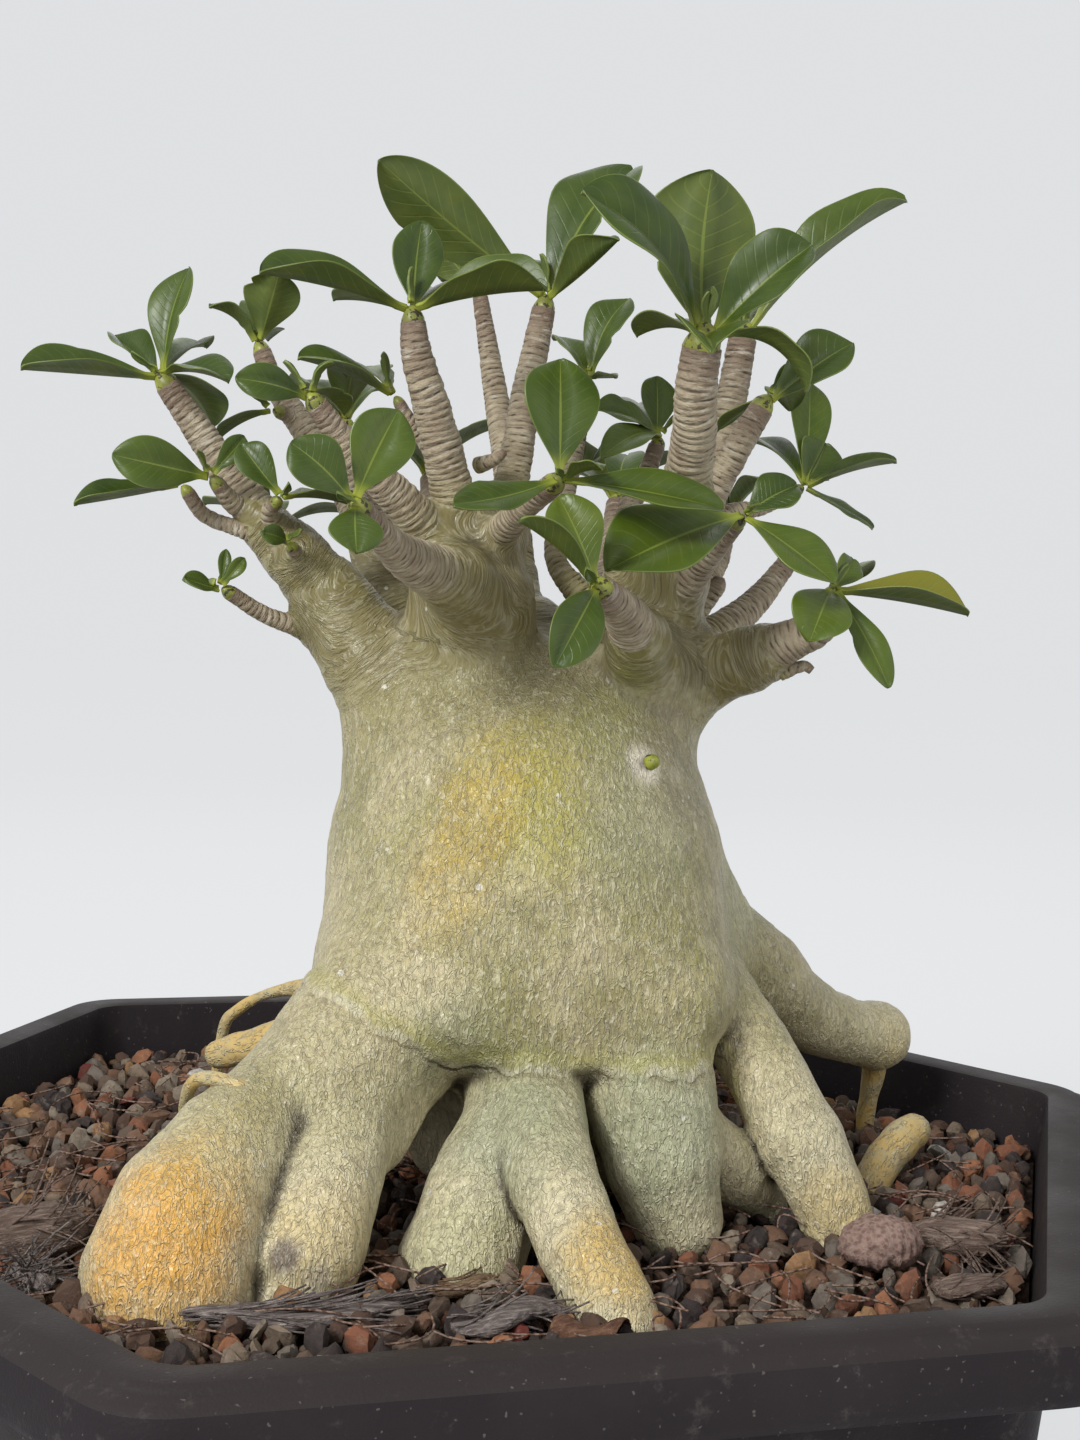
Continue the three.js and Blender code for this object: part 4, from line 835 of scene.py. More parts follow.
@dataclass(frozen=True)
class StemBark(Finish):
    """Smooth living bark of the swollen stem, its legs and its limbs."""

    pale: Colour = (0.47, 0.405, 0.225)
    olive: Colour = (0.27, 0.24, 0.085)
    silver: Colour = (0.66, 0.62, 0.45)
    green: Colour = (0.20, 0.26, 0.15)
    ochre: Colour = (0.42, 0.29, 0.035)
    amber: Colour = (0.70, 0.36, 0.05)
    umber: Colour = (0.10, 0.07, 0.04)
    # Painted light on the legs: a paler tone laid on by height.
    leg_painted_light: Colour = (0.74, 0.66, 0.44)
    limb_tone: Colour = (0.145, 0.120, 0.040)

    def patches(self) -> list[tuple[tuple[float, float, float], float, float, Colour]]:
        """List the patches of colour.

        Returns:
            The centre and radius of each in millimetres, its strength and its tint.
        """
        return [
            ((3, -53, 186), 21, 0.75, (0.36, 0.31, 0.03)), ((5, -53, 170), 14, 0.6, (0.36, 0.32, 0.05)),
            ((-6, -51, 193), 14, 0.5, self.ochre), ((-10, -53, 184), 17, 0.55, self.ochre),
            ((-14, -53, 175), 17, 0.6, self.ochre), ((-18, -53, 165), 16, 0.5, self.ochre),
            ((-21, -53, 155), 13, 0.4, self.ochre), ((-30, -40, 178), 14, 0.35, (0.34, 0.32, 0.07)),
            ((26, -45, 196), 18, 0.5, (0.23, 0.24, 0.06)), ((37, -44, 136), 14, 0.6, (0.40, 0.36, 0.05)),
            ((30, -50, 172), 20, 0.5, (0.24, 0.26, 0.13)), ((42, -38, 184), 18, 0.5, (0.20, 0.17, 0.09)),
            ((-2, -62, 108), 20, 0.55, self.green), ((30, -62, 106), 22, 0.6, self.green),
            ((-14, -52, 126), 14, 0.35, self.green), ((-16, -70, 86), 16, 0.4, (0.30, 0.32, 0.12)),
            ((-78, -82, 98), 24, 0.95, self.amber), ((-66, -74, 112), 20, 0.3, self.ochre),
            ((-43, -80, 92), 17, 0.4, (0.60, 0.42, 0.12)), ((12, -96, 94), 15, 0.8, (0.62, 0.40, 0.09)),
            ((76, -62, 86), 16, 0.6, (0.55, 0.40, 0.14)), ((120, 14, 104), 14, 0.5, (0.55, 0.42, 0.16)),
            ((100, -26, 84), 26, 0.8, (0.58, 0.38, 0.10)), ((-32, 80, 84), 20, 0.6, self.amber),
            ((16, 82, 84), 18, 0.6, self.ochre), ((60, -10, 150), 22, 0.4, (0.34, 0.36, 0.16)),
            ((40, 40, 170), 26, 0.4, self.ochre), ((-53, -78, 90), 4.5, 0.85, (0.13, 0.10, 0.10)),
            ((-46, -80, 86), 4, 0.5, (0.32, 0.28, 0.25)), ((-47, -80, 79), 6, 0.6, (0.70, 0.67, 0.58)),
        ]

    def scars(self) -> list[tuple[tuple[float, float, float], float, float, Colour]]:
        """List the small scars and the ring round the bud.

        Returns:
            The centre and radius of each in millimetres, its raggedness and its tint.
        """
        rows = []
        for centre in ((-14, -53, 157), (-13, -51, 138)):
            rows += [(centre, 2.6, 0.6, (0.72, 0.69, 0.55)), (centre, 0.9, 0.2, (0.03, 0.02, 0.02))]
        bud = (31.8, -42.5, 186)
        return [*rows, (bud, 6.0, 0.35, (0.70, 0.64, 0.50)), (bud, 3.0, 0.3, self.umber)]

    def paint(self, nodes: Nodes) -> Paint:
        """Paint the bark: its tones and patches, fine wrinkles, scars and the old soil line, with painted shade in the
        wrinkle troughs and hollows and painted light on the legs.

        Args:
            nodes: The material's nodes.

        Returns:
            The painted surface.
        """
        place, flow = nodes.place(), nodes.attribute("flow", "Vector")
        limb, above, sunk = (nodes.attribute(name) for name in ("limb", "above", "sunk"))
        height = nodes.take("ShaderNodeSeparateXYZ", {0: place}, 2)
        grain = nodes.stretched(place, (1, 1, 0.40))
        across = nodes.stretched(flow, (0.25, 0.25, 1.5))
        marks = Sharing.squiggles(nodes, grain, 1.35, 0.07, 1.0)
        fine = Sharing.squiggles(nodes, grain, 0.75, 0.09, 0.9)
        rings = Sharing.squiggles(nodes, across, 1.3, 0.09, 0.9)
        curls = nodes.math("MAXIMUM", marks, fine * 0.35) * (1 - limb)
        flecks = nodes.math("MAXIMUM", curls, rings * (limb * 0.5))
        swell = nodes.noise(grain, 0.0016, 2, 0.55, 0.5) * (1 - limb) + nodes.noise(across, 0.0014, 3, 0.6, 0.1) * limb
        edge = above + (nodes.noise(place, 0.003, 3, 0.6) - 0.5) * 2.4
        broken = nodes.clouds(place, 0.008, 4, 0.7, 0.40, 0.62)
        crust = nodes.rise(edge, -0.2, 0.9) * nodes.rise(edge, 3.6, 1.2) * (broken * 0.5)
        line = nodes.rise(edge, -1.1, -0.5) * nodes.rise(edge, 0.1, -0.3)
        line = nodes.math("MULTIPLY", line, Sharing.patch(nodes, place, (-13, -50, 117), 12) * 0.8 + broken * 0.45,
                          clamp=True)
        colour = nodes.coated(
            self.pale,
            (nodes.clouds(place, 0.03, 4, 0.6, 0.35, 0.65), self.olive),
            (nodes.clouds(place, 0.007, 5, 0.7, 0.45, 0.8, 0.35), self.umber),
            (nodes.math("MAXIMUM", limb * 0.8, nodes.rise(height, 0.176, 0.208, 0.55)), self.limb_tone),
            # Painted light: paler from 128 mm down to 98 mm, standing in for the light that reaches the legs.
            (nodes.rise(height, 0.128, 0.098, 0.68), self.leg_painted_light),
            *[(Sharing.patch(nodes, place, centre, radius) * strength, tint)
              for centre, radius, strength, tint in self.patches()],
            # Painted shade: darker in the troughs of the wrinkle relief.
            (nodes.rise(swell, 0.52, 0.34) * (0.32 + limb * 0.02), self.umber),
            (flecks * 0.42, self.silver),
            (nodes.clouds(place, 0.011, 5, 0.65, 0.56, 0.75, 0.3), self.silver),
            (nodes.clouds(place, 0.0035, 1, 0.5, 0.74, 0.8) * 0.6, (0.78, 0.76, 0.66)),
            *[(Sharing.patch(nodes, place, centre, radius, ragged), tint)
              for centre, radius, ragged, tint in self.scars()],
            (nodes.rise(edge, 0.5, 2) * nodes.rise(edge, 7, 3, 0.35), (0.40, 0.37, 0.08)),
            (crust, (0.60, 0.57, 0.44)), (line, self.umber),
            # Painted shade: near black in the hollows under the stem and between the legs.
            (nodes.rise(sunk, 0.12, 0.8, 0.92), (0.035, 0.025, 0.015)))
        rough = nodes.clouds(place, 0.004, 3, 0.5, 0.3, 0.7, 0.46, 0.33)
        return colour, rough, swell + flecks * 0.3 - line * 0.5, 0.95, 1


@dataclass(frozen=True)
class TwigBark(Finish):
    """Ringed bark of the twigs: pale ridges with dark grooves between them."""

    def paint(self, nodes: Nodes) -> Paint:
        """Paint the rings from the mesh's own ridges.

        Args:
            nodes: The material's nodes.

        Returns:
            The painted surface.
        """
        flow, ridge, tip = nodes.attribute("flow", "Vector"), nodes.attribute("ridge"), nodes.attribute("tip")
        across = nodes.stretched(flow, (0.4, 0.4, 1.6))
        dark = ridge + (nodes.noise(across, 0.0015, 3, 0.7) - 0.5) * 0.9
        colour = nodes.coated(
            (0.38, 0.32, 0.22),
            (nodes.clouds(flow, 0.005, 4, 0.65, 0.3, 0.7), (0.25, 0.195, 0.13)),
            (nodes.rise(tip, 0.45, 0.02, 0.85), (0.30, 0.27, 0.12)),
            (nodes.rise(tip, 0.72, 1, 0.8), (0.15, 0.10, 0.07)),
            (nodes.clouds(across, 0.0028, 4, 0.7, 0.52, 0.7, 0.5), (0.60, 0.55, 0.45)),
            (nodes.rise(dark, 0.66, 0.14, 0.85), (0.045, 0.030, 0.020)))
        return colour, 0.6, nodes.noise(across, 0.0013, 3, 0.65) + ridge * 0.5, 0.8, 1


@dataclass(frozen=True)
class RootSkin(Finish):
    """Thin pale yellow roots."""

    def paint(self, nodes: Nodes) -> Paint:
        """Paint the roots, with brown dirt and pale marks.

        Args:
            nodes: The material's nodes.

        Returns:
            The painted surface.
        """
        place, flow = nodes.place(), nodes.attribute("flow", "Vector")
        marks = Sharing.squiggles(nodes, nodes.stretched(flow, (1, 1, 0.4)), 1.1, 0.08, 0.6)
        colour = nodes.coated(
            (0.52, 0.36, 0.12),
            (nodes.clouds(place, 0.009, 4, 0.6, 0.35, 0.65), (0.42, 0.36, 0.20)),
            (nodes.clouds(place, 0.004, 4, 0.7, 0.55, 0.8, 0.7), (0.16, 0.10, 0.06)),
            (marks * 0.5, (0.72, 0.66, 0.46)))
        return colour, 0.55, nodes.noise(flow, 0.0016) + marks, 0.4, 1


@dataclass(frozen=True)
class LeafSkin(Finish):
    """Glossy leaf: dark above with a pale midrib and margin, lighter and veined below."""

    rib: Colour = (0.17, 0.21, 0.035)

    def paint(self, nodes: Nodes) -> Paint:
        """Paint both sides, and the veins from the blade's own map.

        Args:
            nodes: The material's nodes.

        Returns:
            The painted surface.
        """
        place, below, tone = nodes.place(), nodes.attribute("below"), nodes.attribute("tone")
        plan = nodes.add("ShaderNodeSeparateXYZ", {0: nodes.take("ShaderNodeUVMap")}).outputs
        side, along = abs(Value(nodes, plan[0]) - 0.5) * 2, Value(nodes, plan[1])
        cloud = nodes.clouds(place, 0.007, 3, 0.55, 0.3, 0.7)
        vein = abs(nodes.math("FRACT", along * 11 - side * 2.2) - 0.5)
        vein = nodes.rise(vein, 0.10, 0) * nodes.rise(side, 0.95, 0.6)
        rib = nodes.rise(side / nodes.rise(along, 0, 1, 0.018, 0.07), 1.1, 0.5)
        under = nodes.coated((0.085, 0.110, 0.016), (cloud, (0.060, 0.088, 0.015)))
        colour = nodes.coated(
            (0.028, 0.052, 0.005),
            (tone * 0.75 + cloud * 0.3, (0.074, 0.108, 0.008)),
            (nodes.rise(tone + cloud * 0.25, 1.1, 1.6), (0.155, 0.150, 0.012)),
            (below, under),
            (vein * (0.12 + below * 0.18), self.rib),
            (rib * 0.7, self.rib),
            (nodes.rise(side, 0.95, 0.99, 0.5), (0.20, 0.25, 0.06)),
            (nodes.rise(along, 0.2, 0, 0.9), (0.26, 0.29, 0.03)),
            (nodes.clouds(place, 0.006, 2, 0.5, 0.78, 0.8) * 0.9, (0.12, 0.06, 0.02)))
        rough = nodes.clouds(place, 0.009, 2, 0.5, 0.3, 0.7, 0.48, 0.34) + below * 0.16
        return colour, rough, nodes.noise(place, 0.003) - vein * 0.35, 0.25, 0.5


@dataclass(frozen=True)
class ShootSkin(Finish):
    """Yellow-green shoot tip with dark sheath marks."""

    def paint(self, nodes: Nodes) -> Paint:
        """Paint the tip.

        Args:
            nodes: The material's nodes.

        Returns:
            The painted surface.
        """
        place = nodes.place()
        marks = nodes.clouds(place, 0.0016, 2, 0.6, 0.55, 0.64)
        colour = nodes.coated((0.26, 0.28, 0.035), (nodes.clouds(place, 0.004, 3, 0.5, 0.35, 0.65), (0.15, 0.16, 0.03)),
                              (marks * 0.92, (0.02, 0.012, 0.01)))
        return colour, 0.45, marks, 0.2, 1


@dataclass(frozen=True)
class Grit(Finish):
    """Loose grains, each with a tint of its own."""

    # How far the grains are darkened towards near black, as painted shade for grains that lie in the gaps.
    dark: float = 0.0

    def paint(self, nodes: Nodes) -> Paint:
        """Paint the grains in steps of their tint, under dust, then darkened by painted shade as far as dark says.

        Args:
            nodes: The material's nodes.

        Returns:
            The painted surface.
        """
        place = nodes.place()
        rock = nodes.steps(nodes.attribute("tint"), [
            (0.0, (0.22, 0.085, 0.045)), (0.09, (0.17, 0.092, 0.055)), (0.24, (0.115, 0.078, 0.055)),
            (0.38, (0.20, 0.150, 0.105)), (0.48, (0.085, 0.048, 0.032)), (0.60, (0.28, 0.12, 0.06)),
            (0.65, (0.036, 0.028, 0.027)), (0.76, (0.155, 0.130, 0.105)), (0.86, (0.24, 0.195, 0.145)),
            (0.92, (0.30, 0.165, 0.075)), (0.965, (0.55, 0.52, 0.47)), (0.98, (0.13, 0.025, 0.018))])
        colour = nodes.coated(
            rock, (nodes.clouds(place, 0.0018, 4, 0.7, 0.35, 0.7) * 0.5, (0.075, 0.055, 0.045)),
            (nodes.clouds(place, 0.0032, 4, 0.7, 0.55, 0.75, 0.4), (0.34, 0.29, 0.24)),
            # Painted shade: the last coat darkens every grain by dark.
            (self.dark, (0.035, 0.022, 0.016)))
        return colour, 0.85, nodes.noise(place, 0.0009, 4, 0.7), 0.35, 1


@dataclass(frozen=True)
class DarkMix(Finish):
    """Fine dark mix between the grains."""

    def paint(self, nodes: Nodes) -> Paint:
        """Paint the mix.

        Args:
            nodes: The material's nodes.

        Returns:
            The painted surface.
        """
        place = nodes.place()
        colour = nodes.coated((0.012, 0.008, 0.006), (nodes.clouds(place, 0.002, 5, 0.7, 0.35, 0.65),
                                                      (0.060, 0.034, 0.023)))
        return colour, 0.95, nodes.noise(place, 0.0018, 5, 0.75), 0.8, 1


@dataclass(frozen=True)
class DryFibre(Finish):
    """Dry fibrous husk, bark or dead leaf."""

    light: Colour = (0.36, 0.27, 0.22)
    dark: Colour = (0.10, 0.065, 0.05)
    grain: float = 0.7

    def paint(self, nodes: Nodes) -> Paint:
        """Paint the fibres along the piece.

        Args:
            nodes: The material's nodes.

        Returns:
            The painted surface.
        """
        flow = nodes.attribute("flow", "Vector")
        height = Sharing.fibres(nodes, flow, self.grain)
        shade = nodes.clouds(flow, 0.004, 4, 0.6, 0.3, 0.7) * 0.45
        return nodes.coated(self.dark, (height, self.light), (shade, self.dark)), 0.88, height, 0.5, 1


@dataclass(frozen=True)
class Crumb(Finish):
    """Granular crumb of bark and grit."""

    light: Colour = (0.30, 0.19, 0.155)
    dark: Colour = (0.15, 0.09, 0.075)

    def paint(self, nodes: Nodes) -> Paint:
        """Paint the crumb's grains.

        Args:
            nodes: The material's nodes.

        Returns:
            The painted surface.
        """
        place = nodes.place()
        cells = nodes.take("ShaderNodeTexVoronoi", {"Vector": place, "Scale": 900}, "Distance")
        colour = nodes.coated(self.light, (nodes.clouds(place, 0.0015, 4, 0.7, 0.3, 0.7), self.dark),
                              (nodes.rise(cells, 0.25, 0.7, 0.6), (0.40, 0.29, 0.24)))
        return colour, 0.95, nodes.noise(place, 0.0011, 4, 0.8), 0.8, 1


@dataclass(frozen=True)
class PotPlastic(Finish):
    """Matt dark plastic with a faint grain and dust."""

    # A paler tone for random patches, also used as painted light on faces that look up.
    wear_and_painted_light: Colour = (0.030, 0.023, 0.022)

    def paint(self, nodes: Nodes) -> Paint:
        """Paint the plastic, with painted light that makes it paler where it faces up.

        Args:
            nodes: The material's nodes.

        Returns:
            The painted surface.
        """
        place = nodes.place()
        facing = nodes.take("ShaderNodeSeparateXYZ", {0: nodes.take("ShaderNodeNewGeometry", None, "Normal")}, 2)
        colour = nodes.coated(
            (0.012, 0.0085, 0.0105),
            (nodes.clouds(place, 0.05, 5, 0.6, 0.35, 0.7) * 0.4, self.wear_and_painted_light),
            # Painted light: faces that look up are paler, as if lit from above.
            (nodes.rise(facing, 0.3, 0.95, 0.75), self.wear_and_painted_light),
            (nodes.clouds(place, 0.006, 6, 0.75, 0.55, 0.8) * 0.3, (0.16, 0.14, 0.125)),
            (nodes.clouds(place, 0.0012, 1, 0.5, 0.72, 0.78) * 0.3, (0.22, 0.20, 0.18)))
        rough = nodes.clouds(place, 0.02, 4, 0.5, 0.3, 0.7, 0.68, 0.52)
        return colour, rough, nodes.noise(place, 0.0007, 3, 0.6), 0.12, 1


class Dress(Enum):
    """The finishes, by what they are on."""

    STEM = StemBark("Stem bark", "bark")
    TWIG = TwigBark("Twig bark", "bark", specular=0.3)
    ROOTLET = RootSkin("Root skin", "bark")
    LEAF = LeafSkin("Leaf skin", "leaf", coat=0.06, coat_roughness=0.22, specular=0.35)
    SHOOT = ShootSkin("Shoot skin", "leaf")
    GRIT = Grit("Grit", "gravel_mix", specular=0.25)
    # The fine layer, darkened as painted shade for the gaps under the coarse grains.
    FINES = Grit("Fine grit", "gravel_mix", specular=0.2, dark=0.62)
    MIX = DarkMix("Dark mix", "gravel_mix", specular=0.15)
    HUSK = DryFibre("Pinkish husk", "husk", specular=0.15)
    GREY_HUSK = DryFibre("Grey husk", "husk", specular=0.15, light=(0.38, 0.33, 0.30), dark=(0.10, 0.075, 0.07))
    WOODY = DryFibre("Woody strip", "husk", specular=0.15, light=(0.42, 0.30, 0.19), dark=(0.12, 0.07, 0.04))
    DEAD_LEAF = DryFibre("Dead leaf", "husk", specular=0.2, light=(0.24, 0.13, 0.08), dark=(0.05, 0.022, 0.015),
                         grain=1.6)
    LITTER = Crumb("Litter", "husk", specular=0.15, light=(0.16, 0.085, 0.05), dark=(0.045, 0.022, 0.014))
    CRUMB = Crumb("Crumb", "soil_lump", specular=0.15)
    POT = PotPlastic("Pot plastic", "pot_plastic", specular=0.22)

    @property
    def material(self) -> bpy.types.Material:
        """The material, made on its first use."""
        found = bpy.data.materials.get(self.value.name)
        return found if found is not None else self.value.make()


def settle(piece: bpy.types.Object, node: str) -> bpy.types.Object:
    """Attach a finished piece to the body that it rides on and hide the CAD node that it stands for.

    Args:
        piece: The finished piece.
        node: The CAD node that it stands for.

    Returns:
        The piece.
    """
    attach(piece, BODY)
    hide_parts(node)
    logging.info("%s: %d triangles", piece.name, sum(len(polygon.vertices) - 2 for polygon in piece.data.polygons))
    return piece


# ---- Wood ----


@dataclass
class Stretch:
    """One stretch of thick wood, with the axes that its bark follows."""

    points: Array
    blend: float
    limb: float
    hollow: bool = False

    def __post_init__(self) -> None:
        """Work out the lengths and axes of the stretch."""
        self.lengths = np.linalg.norm(np.diff(self.points[:, :3], axis=0), axis=1)
        self.starts = np.concatenate([[0], np.cumsum(self.lengths)[:-1]])
        _, self.first, self.second = carried_frames(self.points[:, :3])

    def distance(self, x: Array, y: Array, z: Array) -> Array:
        """Measure the distance to the stretch's surface.

        Args:
            x: The places' first coordinates.
            y: Their second coordinates.
            z: Their heights.

        Returns:
            The distances, negative inside.
        """
        nearest = None
        for (ax, ay, az, ar), (bx, by, bz, br) in zip(self.points, self.points[1:]):
            dx, dy, dz = bx - ax, by - ay, bz - az
            t = np.clip(((x - ax) * dx + (y - ay) * dy + (z - az) * dz) / (dx * dx + dy * dy + dz * dz), 0, 1)
            off = np.sqrt((x - ax - dx * t) ** 2 + (y - ay - dy * t) ** 2 + (z - az - dz * t) ** 2)
            here = off - ar - (br - ar) * t
            nearest = here if nearest is None else np.minimum(nearest, here)
        return nearest

    def flow(self, places: Array) -> tuple[Array, Array]:
        """Give each place its distance, and its coordinates along and around the stretch.

        Args:
            places: The places to measure.

        Returns:
            The distances and the coordinates (first, second, along).
        """
        best = np.full(len(places), np.inf)
        flows = np.zeros((len(places), 3))
        for index, (a, b) in enumerate(zip(self.points, self.points[1:])):
            direction = (b[:3] - a[:3]) / self.lengths[index]
            t = np.clip((places - a[:3]) @ direction / self.lengths[index], 0, 1)
            axis = a[:3] + t[:, None] * (b[:3] - a[:3])
            radial = places - axis
            here = np.linalg.norm(radial, axis=1) - a[3] - (b[3] - a[3]) * t
            across = [(radial * unit((1 - t)[:, None] * axes[index] + t[:, None] * axes[index + 1])).sum(1)
                      for axes in (self.first, self.second)]
            value = np.column_stack([*across, self.starts[index] + (places - a[:3]) @ direction])
            closer = here < best
            best[closer] = here[closer]
            flows[closer] = value[closer]
        return best, flows


@dataclass
class Wood:
    """The swollen stem with its legs, roots and limbs, skinned as one surface."""

    cell: float = 1.3
    low: tuple[float, float, float] = (-100.0, -118.0, 70.0)
    high: tuple[float, float, float] = (138.0, 100.0, 252.0)
    foot: float = 74.0
    root_blends: tuple[float, ...] = (14, 28, 24, 8, 3, 28, 10, 28, 6, 6, 14, 16, 16, 16)
    limb_blend: float = 9.0
    twig_blend: float = 5.0
    twig_share: float = 0.6
    smoothing: int = 6
    lead_share: float = 0.42
    lead_rise: float = 24.0
    lead_slim: float = 0.9
    lead_start: float = 0.7
    collar_slim: float = 0.9
    blend_rise: tuple[float, float] = (112.0, 132.0)
    limb_rise: tuple[float, float] = (184.0, 208.0)
    foot_blend: float = 2.2
    hollow_blend: float = 4.0
    hollow_rounds: int = 14
    soil_line: tuple[tuple[float, float], ...] = (
        (-60.0, 144.0), (-52.0, 140.0), (-41.0, 135.0), (-29.0, 128.5), (-18.0, 122.5), (-12.0, 119.0), (-8.0, 120.5),
        (4.0, 119.5), (20.0, 118.6), (43.0, 118.2), (60.0, 119.5), (80.0, 122.0))

    def stretches(self) -> list[Stretch]:
        """List the stretches in the order in which they melt together.

        Returns:
            The stretches.
        """
        made = [Stretch(np.array(points, float), 1.0, 0.0) for points in CAUDEX]
        legs = [Stretch(self.led_in(np.array(points, float)), blend, 0.0)
                for points, blend in zip(ROOTS, self.root_blends)]
        hollows = [Stretch(np.array(points, float), self.hollow_blend, 0.0, True) for points in HOLLOWS]
        made += legs[:1] + hollows + legs[1:]
        made += [Stretch(np.array(points, float), self.limb_blend, 1.0) for points in LIMBS]
        for twig in TWIGS:
            collar = np.array(twig[:2], float)
            collar[1] = collar[0] + self.twig_share * (collar[1] - collar[0])
            collar[1][3] *= self.collar_slim
            made.append(Stretch(collar, self.twig_blend, 1.0))
        return made

    def led_in(self, points: Array) -> Array:
        """Start a root higher up inside the stem, so that it leaves the stem without a shoulder.

        Args:
            points: (x, y, z, radius) along the root.

        Returns:
            The root with a point before its first.
        """
        start = points[0].copy()
        start[:2] += self.lead_share * (np.array(CAUDEX[0][1][:2], float) - start[:2])
        start[2] += self.lead_rise
        start[3] *= self.lead_start
        points[0][3] *= self.lead_slim
        return np.vstack([start, points])

    def field(self, stretches: Sequence[Stretch]) -> Array:
        """Sample the distance to the wood on a grid.

        Args:
            stretches: The stretches, in the order in which they melt together.

        Returns:
            The distances, negative inside.
        """
        axes = [np.arange(low, high, self.cell, dtype=np.float32) for low, high in zip(self.low, self.high)]
        values = np.full([len(axis) for axis in axes], 1e3, np.float32)
        for stretch in stretches:
            reach = stretch.points[:, 3].max() + stretch.blend + 3
            near = tuple(slice(*np.searchsorted(axis, [column.min() - reach, column.max() + reach]))
                         for axis, column in zip(axes, stretch.points.T))
            x, y, z = axes[0][near[0], None, None], axes[1][None, near[1], None], axes[2][None, None, near[2]]
            part, held = stretch.distance(x, y, z), values[near]
            if stretch.hollow:
                values[near] = np.maximum(held, -part)
                continue
            blend = self.foot_blend + (stretch.blend - self.foot_blend) * smoothstep(*self.blend_rise, z)
            mix = np.clip(blend - np.abs(held - part), 0, None) / blend
            values[near] = np.minimum(held, part) - mix * mix * blend / 4
        return np.maximum(values, self.foot - axes[2][None, None, :])

    def skin(self, values: Array) -> tuple[Array, list[tuple[int, ...]]]:
        """Draw a quad skin where the sampled distance changes sign.

        Args:
            values: The sampled distances.

        Returns:
            The places and the faces.
        """
        inside = values < 0
        corners = list(product((0, 1), repeat=3))
        spans = [length - 1 for length in values.shape]

        def shifted(grid: Array, corner: Sequence[int]) -> Array:
            """Take the grid as each cell's corner sees it."""
            return grid[tuple(slice(step, step + span) for step, span in zip(corner, spans))]

        count = sum(shifted(inside, corner).astype(np.int8) for corner in corners)
        active = (count > 0) & (count < 8)
        numbers = np.full(active.shape, -1, np.int64)
        numbers[active] = np.arange(active.sum())
        cells = np.argwhere(active)
        total = np.zeros((len(cells), 3))
        hits = np.zeros(len(cells))
        for start, end in product(corners, corners):
            if sum(end) - sum(start) == 1 and all(b >= a for a, b in zip(start, end)):
                first, second = values[tuple((cells + start).T)], values[tuple((cells + end).T)]
                crossed = (first < 0) != (second < 0)
                t = first / np.where(crossed, first - second, 1)
                point = np.array(start) + t[:, None] * (np.array(end) - np.array(start))
                total[crossed] += point[crossed]
                hits[crossed] += 1
        places = np.array(self.low) + (cells + total / hits[:, None]) * self.cell
        faces = []
        for axis in range(3):
            others = [(axis + 1) % 3, (axis + 2) % 3]
            step = np.eye(3, dtype=int)
            lower = tuple(slice(1 if other in others else 0, span) for other, span in enumerate(spans))
            upper = tuple(slice(1 if other in others else 1, span if other in others else span + 1)
                          for other, span in enumerate(spans))
            change = inside[lower] != inside[upper]
            nodes = np.argwhere(change) + [1 if other in others else 0 for other in range(3)]
            leaving = inside[tuple(nodes.T)]
            back, down = step[others[0]], step[others[1]]
            around = [nodes, nodes - back, nodes - back - down, nodes - down]
            quads = np.column_stack([numbers[tuple(corner.T)] for corner in around])
            quads[~leaving] = quads[~leaving][:, ::-1]
            faces.append(quads)
        return places, [tuple(quad) for quad in np.concatenate(faces).tolist()]

    def relaxed(self, places: Array, faces: Sequence[tuple[int, ...]], rounds: int, back: float) -> Array:
        """Even out the skin.

        Args:
            places: The skin's places.
            faces: Its quads.
            rounds: How many times each place moves.
            back: How far every second round moves; negative so that the skin doesn't shrink.

        Returns:
            The smoother places.
        """
        quads = np.array(faces)
        turned = np.roll(quads, 1, axis=1)
        ends, others = np.concatenate([quads, turned]).ravel(), np.concatenate([turned, quads]).ravel()
        count = np.bincount(ends, minlength=len(places)).astype(float)[:, None]
        for turn in range(rounds):
            mean = np.column_stack([np.bincount(ends, places[others, axis], len(places)) for axis in range(3)]) / count
            places = places + (0.55 if turn % 2 == 0 else back) * (mean - places)
        return places

    def above_line(self, places: Array) -> Array:
        """Measure how far each place stands above the old soil line across the front of the legs.

        Args:
            places: The surface's places.

        Returns:
            Heights in millimetres, 20 where there is no line.
        """
        across, heights = np.array(self.soil_line).T
        line = np.interp(places[:, 0], across, heights)
        line = line + 0.5 * np.sin(places[:, 0] * 0.47) + 0.35 * np.sin(places[:, 0] * 1.1 + 1)
        front = smoothstep(-20, -32, places[:, 1]) * smoothstep(58, 51, places[:, 0])
        return 20 + front * (np.clip(places[:, 2] - line, -20, 20) - 20)

